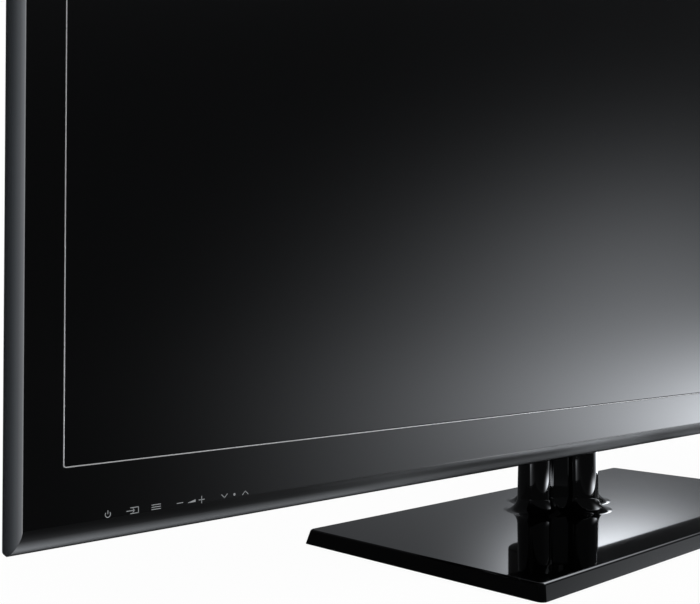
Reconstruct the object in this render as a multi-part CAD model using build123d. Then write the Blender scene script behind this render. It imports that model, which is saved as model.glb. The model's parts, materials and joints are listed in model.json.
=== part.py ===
from build123d import *
import math
import os

# A flat screen television on a swivelling stand.
# X runs to the viewer's right, Y runs to the back and Z runs up.
# The origin lies on the floor, under the middle of the stand's base.
# All sizes are in millimetres.

# Driving dimensions of the screen and its border
screen_width = 952.0
screen_height = 535.5
side_border = 19.3
edge_flare = 3.6
edge_crown_depth = 9.0
edge_depth_shares = (0, 0.3, 0.6, 1)
border_room_depth = 12.0
bottom_border = 38.7
bottom_curve = 13.5
bezel_depth = 14.0
bezel_wall = 2.5
lip_thickness = 1.8
lip_width = 12.0
front_corner = 9.0
back_corner = 2.5

# Driving dimensions of the stand and of how the television stands on it
base_width = 426.2
base_length = 208.4
base_height = 10.4
base_wall = 3.0
base_corner = 4.0
base_draft = 2.0
base_edge_round = 1.6
foot_drop = 1.5
screen_lift = 48.3
front_offset = 24.3
neck_offset = 27.7
swivel_angle = 20.0

# Clearances that the fits share
seat_gap = 0.3
thrust_gap = 0.1
shaft_gap = 0.05
screw_gap = 0.15
cut_over = 1.0

# Silver trim round the screen
trim_width = 1.0
trim_depth = 1.6
window_gap = 0.15

# Layers of the display, from the front glass to the chassis
glass_thickness = 2.5
glass_margin = 6.5
gasket_thickness = 0.6
gasket_width = 7.0
panel_thickness = 5.8
panel_margin = 5.0
seal_margin = 2.0
pad_thickness = 0.6
chassis_thickness = 2.0
chassis_margin = 1.0
chassis_flange = 5.0

# Bars that clamp the glass to the bezel
clamp_width = 4.4
clamp_thickness = 2.0
clamp_setback = 9.0

# Rear cover
cover_inset = 4.7
cover_base_inset = 1.6
cover_slope_inset = 26.0
cover_top_slope = 34.0
cover_depth = 50.0
bulge_depth = 64.0
bulge_side_inset = 52.0
bulge_top = 196.0
bulge_slope = 12.0
cover_wall = 2.0
vent_length = 26.0
vent_width = 3.0
vent_pitch = 9.0
vent_columns = 40
vent_row_gap = 12.0
upper_vent_rows = 2
upper_vent_top = 78.0
lower_vent_columns = 34
lower_vent_rows = 2
lower_vent_height = 22.0

# Recess for the signal plugs and recess for the mains lead
recess_left = 222.0
recess_width = 206.0
recess_low = 58.0
recess_height = 84.0
recess_depth = 20.0
recess_wall = 1.8
mains_centre = 262.0
mains_recess_width = 62.0
mains_recess_height = 50.0

# Screws of the rear cover
cover_screw_r = 1.5
cover_screw_head_r = 3.0
cover_screw_head = 1.8
cover_screw_length = 9.0
cover_boss_r = 3.4
cover_boss_inset = 5.7
bottom_screw_rise = 15.5
top_screw_places = (-400.0, -200.0, 0.0, 200.0, 400.0)
side_screw_places = (190.0, 330.0, 470.0)
bottom_screw_places = (-250.0, -110.0, 110.0, 250.0)

# Threaded inserts for a wall mount
wall_mount_pitch = 400.0
wall_mount_height = 300.0
insert_bore_r = 4.0
insert_r = 7.5
insert_flange_r = 12.0
insert_flange = 2.0

# Rails on the chassis
rail_width = 40.0
rail_height = 7.5
rail_wall = 1.5
rail_length = 500.0

# Boards and their stand-offs
standoff_r = 3.0
standoff_bore_r = 1.3
standoff_height = 8.0
board_thickness = 1.6
board_hole_inset = 7.0
board_screw_r = 1.2
board_screw_head_r = 2.8
board_screw_head = 1.6
board_screw_length = 6.0

# Places and sizes of the boards, as left, low, width and height above the underside
power_place = (-165.0, 262.0, 330.0, 240.0)
main_place = (-440.0, 50.0, 222.0, 145.0)
row_driver_place = (-448.0, 210.0, 130.0, 330.0)
sustain_place = (318.0, 210.0, 130.0, 330.0)
logic_place = (-120.0, 150.0, 240.0, 92.0)
column_left_place = (-172.0, 60.0, 112.0, 34.0)
column_right_place = (60.0, 60.0, 112.0, 34.0)

# Power board parts
transformer_size = (42.0, 20.0, 38.0)
transformer_places = (40.0, 120.0)
transformer_up = 120.0
bobbin_width = 21.0
bobbin_depth = 5.0
capacitor_r = 11.0
capacitor_length = 24.0
capacitor_places = (190.0, 218.0, 246.0)
capacitor_up = 60.0
capacitor_groove_low = 2.8
capacitor_groove_width = 1.4
capacitor_groove = 0.7
heatsink_size = (12.0, 22.0, 96.0)
heatsink_places = (20.0, 96.0, 166.0)
heatsink_up = 14.0
heatsink_blade = 3.0
fin_pitch = 6.0
fin_gap = 3.0
fin_depth = 8.0

# Driver board parts
driver_sink_width = 66.0
driver_sink_height = 150.0
driver_sink_depth = 14.0
driver_sink_low = 90.0

# Main board parts
processor_size = (34.0, 2.2, 34.0)
processor_place = (160.0, 104.0)
processor_sink_depth = 11.0

# Sockets on the main board, whose faces lie on the floor of the plug recess
socket_row_low = 24.0
socket_row_high = 58.0
hdmi_size = (15.6, 6.6)
hdmi_wall = 0.7
hdmi_tongue = (11.0, 1.2)
hdmi_places = (24.0, 46.0, 68.0, 90.0)
usb_size = (14.6, 7.2)
usb_wall = 0.8
usb_tongue = (11.4, 1.8)
usb_places = (116.0, 138.0)
network_size = (16.4, 14.0)
network_hollow = (11.8, 8.4)
network_place = 168.0
network_hollow_depth = 13.0
cinch_outer_r = 4.15
cinch_bore_r = 1.7
cinch_body_r = 5.4
cinch_places = (24.0, 40.0, 56.0, 72.0, 88.0)
antenna_outer_r = 4.8
antenna_bore_r = 3.6
antenna_pin_r = 1.0
antenna_place = 116.0
antenna_body = 12.0
socket_reach = 1.6
socket_hollow_depth = 10.0
tongue_setback = 1.2

# Mains inlet
inlet_width = 30.0
inlet_height = 22.0
inlet_flange = 2.2
inlet_flange_width = 52.0
inlet_flange_height = 30.0
inlet_length = 12.0
inlet_hollow = (24.4, 16.4)
inlet_hollow_depth = 11.0
inlet_pin = (2.0, 4.0)
inlet_pin_length = 8.0
inlet_pin_spread = 7.0
inlet_pin_drop = 2.0
inlet_screw_spread = 20.6
inlet_screw_r = 1.3
inlet_screw_head_r = 2.6
inlet_screw_head = 1.4
inlet_screw_length = 6.0

# Loudspeakers
speaker_width = 150.0
speaker_height = 44.0
speaker_depth = 32.0
speaker_wall = 2.0
speaker_centre = 310.0
speaker_front = 22.0
speaker_bore_r = 13.0
speaker_spread = 36.0
cone_rim_r = 12.7
cone_throat_r = 5.0
cone_wall = 0.8
cone_depth = 7.0
magnet_r = 9.0
magnet_length = 8.0
speaker_ear = 12.0
speaker_ear_thickness = 4.0
speaker_slots = 13
grommet_r = 4.2
grommet_bore_r = 1.8
grommet_overhang = 1.0

# Touch keys and remote receiver behind the lower border
key_row_height = 14.5
key_places = (-452.6, -439.1, -425.7, -411.7, -398.4, -383.9, -370.1)
key_board_height = 9.0
key_board_margin = 9.0
key_film = 0.4
key_light_r = 1.1
key_light_bite = 0.6
border_thickness = 2.5
receiver_place = 432.0
receiver_height = 21.0
receiver_size = (26.0, 12.0)
receiver_eye_r = 2.4
receiver_eye_length = 3.4
receiver_window_r = 3.2

# Wiring that stays inside the casing
lead_r = 1.6
ribbon_thickness = 0.4
ribbon_width = 22.0
ribbon_count = 6
ribbon_overlap = 8.0
plug_size = (9.0, 7.0, 14.0)
lead_bend = 14.0
lead_bend_share = 0.25
driver_lead_start = 442.0
driver_lead_end = 375.0
main_lead_start = 286.0
main_lead_end = 166.0

# Neck: four lobes round a post, with a flared foot
lobe_r = 13.3
lobe_side = 32.9
lobe_front = 21.4
neck_draft = 0.7
flare_r = 11.0
flare_lip = 0.4
web_r = 4.5
neck_wall = 2.4
neck_top_gap = 0.5

# Cast post inside the neck and the swivel under it
post_r = 16.0
post_rib = 6.0
post_rib_gap = 4.5
post_flange_r = 19.6
post_flange = 3.0
spigot_r = 12.0
spigot_end = 2.2
ring_outer_r = 21.0
ring_thickness = 2.4
washer_r = 20.0
washer_thickness = 1.0
clip_r = 14.5
clip_thickness = 1.0
clip_groove = 1.0
clip_gap_width = 8.0
stop_pin_r = 1.6
stop_place = 16.6
stop_pin_length = 9.0
stop_slack = 0.3
plate_thickness = 4.0
plate_inset = 14.0

# Steel bracket between the post and the chassis
bracket_foot_thickness = 5.0
bracket_foot_front = 36.0
bracket_foot_width = 46.0
bracket_plate = 4.0
bracket_width = 58.0
bracket_height = 132.0
bracket_rib = 4.0
bracket_rib_reach = 14.0
bracket_screw_r = 2.5
bracket_screw_head_r = 4.5
bracket_screw_head = 3.0
bracket_screw_spread = 24.0
bracket_screw_low = 40.0
bracket_screw_rise = 66.0
post_bolt_r = 3.0
post_bolt_head_r = 5.0
post_bolt_length = 20.0
post_bolt_spread = 9.0
frame_width = 92.0
frame_low = 22.0
frame_height = 102.0
frame_wall = 3.0
frame_foot = 12.0

# Cover over the bracket
housing_width = 68.0
housing_depth = 25.5
housing_drop = 12.6
housing_height = 176.0
housing_wall = 2.2
housing_corner = 25.0
housing_round = 2.0
housing_screw_r = 1.8
housing_screw_head_r = 3.4
housing_screw_head = 2.0
housing_boss_r = 4.5
housing_screw_places = (24.0, 118.0)

# Feet and screws under the base
foot_r = 7.0
foot_inset = 26.5
base_screw_r = 2.0
base_screw_head_r = 4.0
base_screw_head = 2.0
base_screw_column_shares = (-0.7, -0.33, 0.33, 0.7)
base_screw_row_shares = (-0.58, 0.58)
base_screw_bite = 2.2

# Heights and depths that follow from the driving dimensions
base_bottom = foot_drop
base_top = base_bottom + base_height
underside = base_top + screen_lift
screen_low = underside + bottom_border
screen_high = screen_low + screen_height
half_screen = screen_width / 2
half_face = half_screen + side_border
half_width = half_face + edge_flare
face_high = screen_high + side_border
top_side = face_high + edge_flare
face_low = underside + bottom_curve
front_y = -front_offset
glass_front = lip_thickness
glass_back = glass_front + glass_thickness
panel_front = glass_back + gasket_thickness
panel_back = panel_front + panel_thickness
chassis_front = panel_back + pad_thickness
chassis_back = chassis_front + chassis_thickness
board_front = chassis_back + standoff_height
board_back = board_front + board_thickness
recess_floor = bulge_depth - recess_depth
plate_top = base_top - base_wall
plate_bottom = plate_top - plate_thickness
ring_top = plate_top + ring_thickness
flange_low = ring_top + thrust_gap
flange_high = flange_low + post_flange
post_high = underside - neck_top_gap - bracket_foot_thickness
neck_low = base_top + seat_gap
neck_high = underside - seat_gap
bracket_front = bulge_depth + seat_gap
bracket_back = bracket_front + bracket_plate
frame_back = bulge_depth - cover_wall - seat_gap
socket_end = recess_floor + socket_reach
socket_floor = recess_floor - socket_hollow_depth
speaker_bottom = underside + cover_base_inset + cover_wall + seat_gap
speaker_middle = speaker_front + speaker_depth / 2
all_places = (power_place, main_place, row_driver_place, sustain_place, logic_place,
              column_left_place, column_right_place)


def at_depth(depth):
    return front_y + depth


def slab(x_span, depth_span, z_span):
    """A box given by its limits, with depths counted back from the screen's plane."""
    size_x = x_span[1] - x_span[0]
    size_y = depth_span[1] - depth_span[0]
    size_z = z_span[1] - z_span[0]
    middle_x = (x_span[0] + x_span[1]) / 2
    middle_y = at_depth((depth_span[0] + depth_span[1]) / 2)
    middle_z = (z_span[0] + z_span[1]) / 2
    return Pos(middle_x, middle_y, middle_z) * Box(size_x, size_y, size_z)


def rod_back(radius, x, depth_span, z):
    """A round bar that lies along the depth."""
    length = depth_span[1] - depth_span[0]
    middle = at_depth((depth_span[0] + depth_span[1]) / 2)
    return Pos(x, middle, z) * Rot(90, 0, 0) * Cylinder(radius, length)


def rod_up(radius, x, y, z_span):
    """A round bar that stands upright."""
    length = z_span[1] - z_span[0]
    return Pos(x, y, (z_span[0] + z_span[1]) / 2) * Cylinder(radius, length)


def upright_outline(half, z_span, depth, corner):
    """A rounded rectangle that stands across the view at one depth."""
    height = z_span[1] - z_span[0]
    place = Plane(
        origin=(0, at_depth(depth), (z_span[0] + z_span[1]) / 2),
        x_dir=(1, 0, 0),
        z_dir=(0, -1, 0),
    )
    return place * RectangleRounded(half * 2, height, corner)


def as_group(solids):
    """Keeps separate pieces of one kind together in one node."""
    return Compound(children=list(solids))


def save(shape, name):
    export_step(shape, f"parts/{name}.step")


# Front bezel

def bezel_profile():
    """Side view of the border: flat in front, curved under and square behind."""
    face = Polyline((at_depth(0), top_side), (at_depth(0), face_low))
    curve = CenterArc((at_depth(bottom_curve), face_low), bottom_curve, 180, 90)
    rest = Polyline(
        (at_depth(bottom_curve), underside),
        (at_depth(bezel_depth), underside),
        (at_depth(bezel_depth), top_side),
        (at_depth(0), top_side),
    )
    outline = make_face(face + curve + rest)
    return Pos(-half_width, 0, 0) * extrude(Plane.YZ * outline, half_width * 2)


def edge_reach(depth):
    """How far the edge band stands out past the face at one depth, on one arc."""
    radius = (edge_crown_depth ** 2 + edge_flare ** 2) / (2 * edge_flare)
    return edge_flare - radius + math.sqrt(radius ** 2 - (depth - edge_crown_depth) ** 2)


def bezel_envelope():
    """Rounded edge band, lofted from the face's outline over the widest one to the back."""
    sections = []
    for depth in [edge_crown_depth * share for share in edge_depth_shares] + [bezel_depth]:
        reach = edge_reach(depth)
        corner = front_corner + (back_corner - front_corner) * min(depth / edge_crown_depth, 1)
        sections.append(upright_outline(half_face + reach, (underside, face_high + reach), depth,
                                        corner))
    return loft(sections, ruled=True)


def border_screw_points():
    """Where the rear cover's screws meet the bezel, as X and Z."""
    inset = edge_flare + cover_boss_inset
    side_x = half_width - inset
    high = top_side - inset
    low = underside + bottom_screw_rise
    top_points = [(x, high) for x in top_screw_places]
    side_points = [(sign * side_x, underside + z) for sign in (-1, 1) for z in side_screw_places]
    bottom_points = [(x, low) for x in bottom_screw_places]
    return top_points + side_points + bottom_points


def make_front_bezel():
    shell = bezel_profile() & bezel_envelope()
    window = slab((-half_screen, half_screen), (-cut_over, bezel_depth), (screen_low, screen_high))
    seat_half = half_screen + lip_width
    seat = slab((-seat_half, seat_half), (lip_thickness, bezel_depth + cut_over),
                (screen_low - lip_width, screen_high + lip_width))
    inner_half = half_face - bezel_wall
    front_room = slab((-inner_half, inner_half), (border_thickness, bezel_depth + cut_over),
                      (face_low, face_high - bezel_wall))
    back_half = half_width - bezel_wall
    back_room = slab((-back_half, back_half), (border_room_depth, bezel_depth + cut_over),
                     (underside + bezel_wall, top_side - bezel_wall))
    body = shell - window - seat - front_room - back_room
    for x, z in border_screw_points():
        body += rod_back(cover_boss_r, x, (lip_thickness, border_room_depth), z) & shell
    for x, z in border_screw_points():
        deep = border_room_depth - cover_screw_length + cover_wall
        body -= rod_back(cover_screw_r, x, (deep, bezel_depth + cut_over), z)
    for x in key_places:
        body -= rod_back(key_light_r + window_gap, x, (border_thickness - key_light_bite,
                         border_thickness + cut_over), underside + key_row_height)
    body -= rod_back(receiver_window_r, receiver_place,
                     (-cut_over, border_thickness + cut_over), underside + receiver_height)
    return body


def make_receiver_window():
    """Dark lens in the lower border, in front of the remote receiver."""
    return rod_back(receiver_window_r - window_gap, receiver_place,
                    (0, border_thickness), underside + receiver_height)


def make_screen_trim():
    """Thin bright frame pressed into the edge of the screen opening."""
    outer = half_screen - window_gap
    inner = outer - trim_width
    ring = slab((-outer, outer), (0, trim_depth),
                (screen_low + window_gap, screen_high - window_gap))
    hole = slab((-inner, inner), (-cut_over, trim_depth + cut_over),
                (screen_low + window_gap + trim_width, screen_high - window_gap - trim_width))
    return ring - hole


# Display stack

def sheet(margin, depth_span):
    """A full sheet behind the opening, larger than the screen by the margin all round."""
    half = half_screen + margin
    return slab((-half, half), depth_span, (screen_low - margin, screen_high + margin))


def make_filter_glass():
    return sheet(glass_margin, (glass_front, glass_back))


def make_glass_gasket():
    """Foam strip all round, between the front glass and the panel."""
    outer = sheet(panel_margin, (glass_back, panel_front))
    inner = sheet(panel_margin - gasket_width, (glass_back - cut_over, panel_front + cut_over))
    return outer - inner


def make_display_panel():
    """Two sheets of glass sealed together, the rear one a little narrower for its contacts."""
    middle = (panel_front + panel_back) / 2
    return sheet(panel_margin, (panel_front, middle)) + sheet(seal_margin, (middle, panel_back))


def make_panel_pad():
    return sheet(-seal_margin, (panel_back, chassis_front))


def make_panel_chassis():
    """Aluminium back plate with turned edges and holes for the stand-offs."""
    plate = sheet(chassis_margin, (chassis_front, chassis_back))
    half = half_screen + chassis_margin
    for low, high in (
        (screen_low - chassis_margin, screen_low - chassis_margin + chassis_thickness),
        (screen_high + chassis_margin - chassis_thickness, screen_high + chassis_margin),
    ):
        plate += slab((-half, half), (chassis_back, chassis_back + chassis_flange), (low, high))
    return plate


def make_glass_clamps():
    """Four bars that hold the front glass against the bezel's lip."""
    long_half = half_screen - clamp_setback
    depth_span = (glass_back, glass_back + clamp_thickness)
    side_in = half_screen + panel_margin + seat_gap
    side_out = side_in + clamp_width
    low_in = screen_low - panel_margin - seat_gap
    high_in = screen_high + panel_margin + seat_gap
    low_span = (low_in - clamp_width, low_in)
    high_span = (high_in, high_in + clamp_width)
    side_span = (screen_low + clamp_setback, screen_high - clamp_setback)
    return as_group([
        slab((-long_half, long_half), depth_span, low_span),
        slab((-long_half, long_half), depth_span, high_span),
        slab((-side_out, -side_in), depth_span, side_span),
        slab((side_in, side_out), depth_span, side_span),
    ])


# Rear cover

def upright_box_outline(half, z_span, depth):
    height = z_span[1] - z_span[0]
    place = Plane(
        origin=(0, at_depth(depth), (z_span[0] + z_span[1]) / 2),
        x_dir=(1, 0, 0),
        z_dir=(0, -1, 0),
    )
    return place * Rectangle(half * 2, height)


def cover_body(wall):
    """Outer form of the rear cover, or its hollow when drawn in by the wall."""
    half = half_width - cover_inset - wall
    low = underside + cover_base_inset + wall
    high = top_side - cover_inset - wall
    start = upright_box_outline(half, (low, high), bezel_depth)
    end = upright_box_outline(half - cover_slope_inset, (low, high - cover_top_slope),
                              cover_depth - wall)
    tray = loft([start, end], ruled=True)
    bulge_half = half_width - bulge_side_inset - wall
    bulge_high = underside + bulge_top - wall
    bulge_start = upright_box_outline(bulge_half, (low, bulge_high),
                                      (bezel_depth + cover_depth) / 2)
    bulge_end = upright_box_outline(bulge_half - bulge_slope, (low, bulge_high - bulge_slope),
                                    bulge_depth - wall)
    return tray + loft([bulge_start, bulge_end], ruled=True)


def recess_spans():
    """The plug recess: spans along X and Z, on the right when seen from behind."""
    left = -recess_left - recess_width
    return (left, left + recess_width), (underside + recess_low,
                                         underside + recess_low + recess_height)


def mains_recess_spans():
    half = mains_recess_width / 2
    low = underside + recess_low
    return (mains_centre - half, mains_centre + half), (low, low + mains_recess_height)


def recess_box(spans, wall):
    (left, right), (low, high) = spans
    back_over = cut_over if wall == 0 else 0
    return slab((left - wall, right + wall), (recess_floor - wall, bulge_depth + back_over),
                (low - wall, high + wall))


def vent_row(count, low, depth_span):
    span = (count - 1) * vent_pitch
    first = -span / 2
    half = vent_width / 2
    slots = []
    for index in range(count):
        x = first + index * vent_pitch
        slots.append(slab((x - half, x + half), depth_span, (low, low + vent_length)))
    return slots


def cover_vents():
    slots = []
    for row in range(upper_vent_rows):
        low = top_side - upper_vent_top - row * (vent_length + vent_row_gap)
        slots += vent_row(vent_columns, low, (cover_depth - cover_wall - cut_over,
                                              cover_depth + cut_over))
    for row in range(lower_vent_rows):
        low = underside + bulge_top + lower_vent_height + row * (vent_length + vent_row_gap)
        slots += vent_row(lower_vent_columns, low, (cover_depth - cover_wall - cut_over,
                                                    cover_depth + cut_over))
    return slots


def insert_points():
    half = wall_mount_pitch / 2
    middle = underside + wall_mount_height
    return [(x, middle + z) for x in (-half, half) for z in (-half, half)]


def insert_end(z):
    """Depth of the cover's back where an insert comes through it."""
    return bulge_depth if z < underside + bulge_top else cover_depth


def bracket_screw_points():
    low = underside + bracket_screw_low
    half = bracket_screw_spread / 2
    return [(x, low + z) for x in (-half, half) for z in (0, bracket_screw_rise)]


def speaker_slots_under():
    """Slots in the cover's underside, below each loudspeaker."""
    slots = []
    half = vent_width / 2
    span = (speaker_middle - vent_length / 2, speaker_middle + vent_length / 2)
    low = underside + cover_base_inset
    for side in (-speaker_centre, speaker_centre):
        for index in range(speaker_slots):
            x = side + (index - (speaker_slots - 1) / 2) * vent_pitch
            slots.append(slab((x - half, x + half), span, (low - cut_over,
                                                           low + cover_wall + cut_over)))
    return slots


def make_rear_cover():
    """Sloping tray with a deeper bulge below, its vents, its two recesses and its holes."""
    shell = cover_body(0) - cover_body(cover_wall)
    rim_half = half_width - bezel_wall - seat_gap
    rim = slab((-rim_half, rim_half), (border_room_depth, bezel_depth),
               (underside + bezel_wall + seat_gap, top_side - bezel_wall - seat_gap))
    inner = panel_margin + seat_gap
    rim -= slab((-half_screen - inner, half_screen + inner),
                (border_room_depth - cut_over, bezel_depth + cut_over),
                (screen_low - inner, screen_high + inner))
    shell += rim
    for x, z in border_screw_points():
        room = cover_screw_head_r + seat_gap
        shell -= rod_back(room, x, (bezel_depth, cover_depth + cut_over), z)
        shell -= rod_back(cover_screw_r + screw_gap, x, (border_room_depth - cut_over,
                          bezel_depth + cut_over), z)
    for spans in (recess_spans(), mains_recess_spans()):
        shell += recess_box(spans, recess_wall) & cover_body(0)
    for spans in (recess_spans(), mains_recess_spans()):
        shell -= recess_box(spans, 0)
    for x, z in insert_points():
        end = insert_end(z)
        shell -= rod_back(insert_r + seat_gap, x, (end - cover_wall - cut_over, end + cut_over), z)
    for x, z in bracket_screw_points():
        shell -= rod_back(bracket_screw_r + seat_gap, x, (bulge_depth - cover_wall - cut_over,
                          bulge_depth + cut_over), z)
    for cut in socket_cuts() + inlet_cuts():
        shell -= cut
    return shell - Compound(children=cover_vents() + speaker_slots_under())


def make_cover_screws():
    """One screw per rim boss, with its head behind the rim."""
    screws = []
    for x, z in border_screw_points():
        shank = rod_back(cover_screw_r, x, (bezel_depth - cover_screw_length + cover_wall,
                                            bezel_depth), z)
        head = rod_back(cover_screw_head_r, x, (bezel_depth,
                                                bezel_depth + cover_screw_head), z)
        screws.append(shank + head)
    return as_group(screws)


# Rails and inserts for a wall mount

def make_chassis_rails():
    """Two upright channel rails that carry the wall-mount inserts."""
    half = rail_width / 2
    middle = underside + wall_mount_height
    z_span = (middle - rail_length / 2, middle + rail_length / 2)
    back = chassis_back + rail_height
    rails = []
    for x in (-wall_mount_pitch / 2, wall_mount_pitch / 2):
        outer = slab((x - half, x + half), (chassis_back, back), z_span)
        inner = slab((x - half + rail_wall, x + half - rail_wall),
                     (chassis_back - cut_over, back - rail_wall), z_span)
        rail = outer - inner
        for z in (middle - wall_mount_pitch / 2, middle + wall_mount_pitch / 2):
            rail -= rod_back(insert_bore_r + seat_gap, x, (chassis_back, back + cut_over), z)
        rails.append(rail)
    return as_group(rails)


def make_wall_mount_inserts():
    """Four flanged bushes on the rails, flush with the back of the cover."""
    seat = chassis_back + rail_height
    bushes = []
    for x, z in insert_points():
        bush = rod_back(insert_r, x, (seat, insert_end(z)), z)
        bush += rod_back(insert_flange_r, x, (seat, seat + insert_flange), z)
        bush -= rod_back(insert_bore_r, x, (seat - cut_over, insert_end(z) + cut_over), z)
        bushes.append(bush)
    return as_group(bushes)


# Boards

def board_spans(place):
    left, low, width, height = place
    return (left, left + width), (underside + low, underside + low + height)


def board_holes(place):
    (left, right), (low, high) = board_spans(place)
    inset = board_hole_inset
    return [(x, z) for x in (left + inset, right - inset) for z in (low + inset, high - inset)]


def make_board(place):
    x_span, z_span = board_spans(place)
    board = slab(x_span, (board_front, board_back), z_span)
    for x, z in board_holes(place):
        board -= rod_back(standoff_bore_r, x, (board_front - cut_over, board_back + cut_over), z)
    return board


def make_standoffs():
    posts = []
    for place in all_places:
        for x, z in board_holes(place):
            post = rod_back(standoff_r, x, (chassis_back, board_front), z)
            bore = rod_back(standoff_bore_r, x, (chassis_back + cut_over, board_front + cut_over), z)
            posts.append(post - bore)
    return as_group(posts)


def make_board_screws():
    screws = []
    for place in all_places:
        for x, z in board_holes(place):
            shank = rod_back(board_screw_r, x, (board_back - board_screw_length, board_back), z)
            head = rod_back(board_screw_head_r, x, (board_back, board_back + board_screw_head), z)
            screws.append(shank + head)
    return as_group(screws)


def on_board(place, along, up, size):
    """A block that stands on a board, with its corner at a place on it."""
    left, low, _, _ = place
    width, depth, height = size
    x = left + along
    z = underside + low + up
    return slab((x, x + width), (board_back, board_back + depth), (z, z + height))


def finned_block(x_span, depth_span, z_span):
    """An aluminium sink whose upright fins stand on a common plate."""
    block = slab(x_span, depth_span, z_span)
    count = int((x_span[1] - x_span[0] - fin_gap) / fin_pitch)
    first = (x_span[0] + x_span[1] - (count - 1) * fin_pitch) / 2
    for index in range(count):
        x = first + index * fin_pitch
        block -= slab((x - fin_gap / 2, x + fin_gap / 2),
                      (depth_span[1] - fin_depth, depth_span[1] + cut_over),
                      (z_span[0] - cut_over, z_span[1] + cut_over))
    return block


def make_power_transformers():
    """Wound cores on the power board, each raised on two legs beside its bobbin."""
    width, _, height = transformer_size
    window = (bobbin_width, bobbin_depth, height + cut_over * 2)
    blocks = []
    for along in transformer_places:
        core = on_board(power_place, along, transformer_up, transformer_size)
        core -= on_board(power_place, along + (width - bobbin_width) / 2,
                         transformer_up - cut_over, window)
        blocks.append(core)
    return as_group(blocks)


def make_power_capacitors():
    """Upright electrolytic cans with a rolled groove near the board."""
    cans = []
    z = underside + power_place[1] + capacitor_up
    low = board_back + capacitor_groove_low
    high = low + capacitor_groove_width
    for along in capacitor_places:
        x = power_place[0] + along
        can = rod_back(capacitor_r, x, (board_back, board_back + capacitor_length), z)
        ring = rod_back(capacitor_r + cut_over, x, (low, high), z)
        ring -= rod_back(capacitor_r - capacitor_groove, x, (low - cut_over, high + cut_over), z)
        cans.append(can - ring)
    return as_group(cans)


def make_power_heatsinks():
    """Upright aluminium blades on the power board."""
    width, depth, height = heatsink_size
    sinks = []
    for along in heatsink_places:
        x = power_place[0] + along
        z = underside + power_place[1] + heatsink_up
        back = board_back + depth
        blade = slab((x, x + heatsink_blade), (board_back, back), (z, z + height))
        head = slab((x, x + width), (back - heatsink_blade, back), (z, z + height))
        sinks.append(blade + head)
    return as_group(sinks)


def make_driver_heatsinks():
    """One finned sink on each of the two tall driver boards."""
    sinks = []
    for place in (row_driver_place, sustain_place):
        (left, right), (low, _) = board_spans(place)
        middle = (left + right) / 2
        half = driver_sink_width / 2
        base = low + driver_sink_low
        sinks.append(finned_block((middle - half, middle + half),
                                  (board_back, board_back + driver_sink_depth),
                                  (base, base + driver_sink_height)))
    return as_group(sinks)


def make_main_board():
    """The signal board with its soldered processor."""
    along, up = processor_place
    return make_board(main_place) + on_board(main_place, along, up, processor_size)


def make_processor_sink():
    along, up = processor_place
    width, thickness, height = processor_size
    x = main_place[0] + along
    z = underside + main_place[1] + up
    front = board_back + thickness
    return finned_block((x, x + width), (front, front + processor_sink_depth), (z, z + height))


# Sockets, which stand on the main board and end in the plug recess

def socket_x(along):
    return -recess_left - recess_width + along


def socket_z(row):
    return underside + recess_low + row


def can_socket(x, z, size, wall, tongue):
    """A folded metal can with a flat tongue inside it."""
    width, height = size
    body = slab((x - width / 2, x + width / 2), (board_back, socket_end),
                (z - height / 2, z + height / 2))
    body -= slab((x - width / 2 + wall, x + width / 2 - wall), (socket_floor, socket_end + cut_over),
                 (z - height / 2 + wall, z + height / 2 - wall))
    body += slab((x - tongue[0] / 2, x + tongue[0] / 2), (socket_floor, socket_end - tongue_setback),
                 (z - tongue[1] / 2, z + tongue[1] / 2))
    return body


def make_picture_sockets():
    z = socket_z(socket_row_low)
    return as_group([can_socket(socket_x(a), z, hdmi_size, hdmi_wall, hdmi_tongue)
                     for a in hdmi_places])


def make_memory_sockets():
    z = socket_z(socket_row_low)
    return as_group([can_socket(socket_x(a), z, usb_size, usb_wall, usb_tongue)
                     for a in usb_places])


def make_network_socket():
    x = socket_x(network_place)
    z = socket_z(socket_row_low)
    width, height = network_size
    hollow_width, hollow_height = network_hollow
    body = slab((x - width / 2, x + width / 2), (board_back, socket_end),
                (z - height / 2, z + height / 2))
    body -= slab((x - hollow_width / 2, x + hollow_width / 2),
                 (socket_end - network_hollow_depth, socket_end + cut_over),
                 (z - hollow_height / 2, z + hollow_height / 2))
    return body


def make_sound_sockets():
    """A row of round phono jacks on square bodies."""
    z = socket_z(socket_row_high)
    jacks = []
    for along in cinch_places:
        x = socket_x(along)
        body = slab((x - cinch_body_r, x + cinch_body_r), (board_back, recess_floor - recess_wall
                    - seat_gap), (z - cinch_body_r, z + cinch_body_r))
        body += rod_back(cinch_outer_r, x, (board_back, socket_end + cinch_outer_r), z)
        body -= rod_back(cinch_bore_r, x, (socket_floor,
                                           socket_end + cinch_outer_r + cut_over), z)
        jacks.append(body)
    return as_group(jacks)


def make_antenna_socket():
    x = socket_x(antenna_place)
    z = socket_z(socket_row_high)
    half = antenna_body / 2
    body = slab((x - half, x + half), (board_back, recess_floor - recess_wall - seat_gap),
                (z - half, z + half))
    end = socket_end + antenna_outer_r
    body += rod_back(antenna_outer_r, x, (board_back, end), z)
    body -= rod_back(antenna_bore_r, x, (socket_floor, end + cut_over), z)
    body += rod_back(antenna_pin_r, x, (socket_floor, end - tongue_setback), z)
    return body


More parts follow.
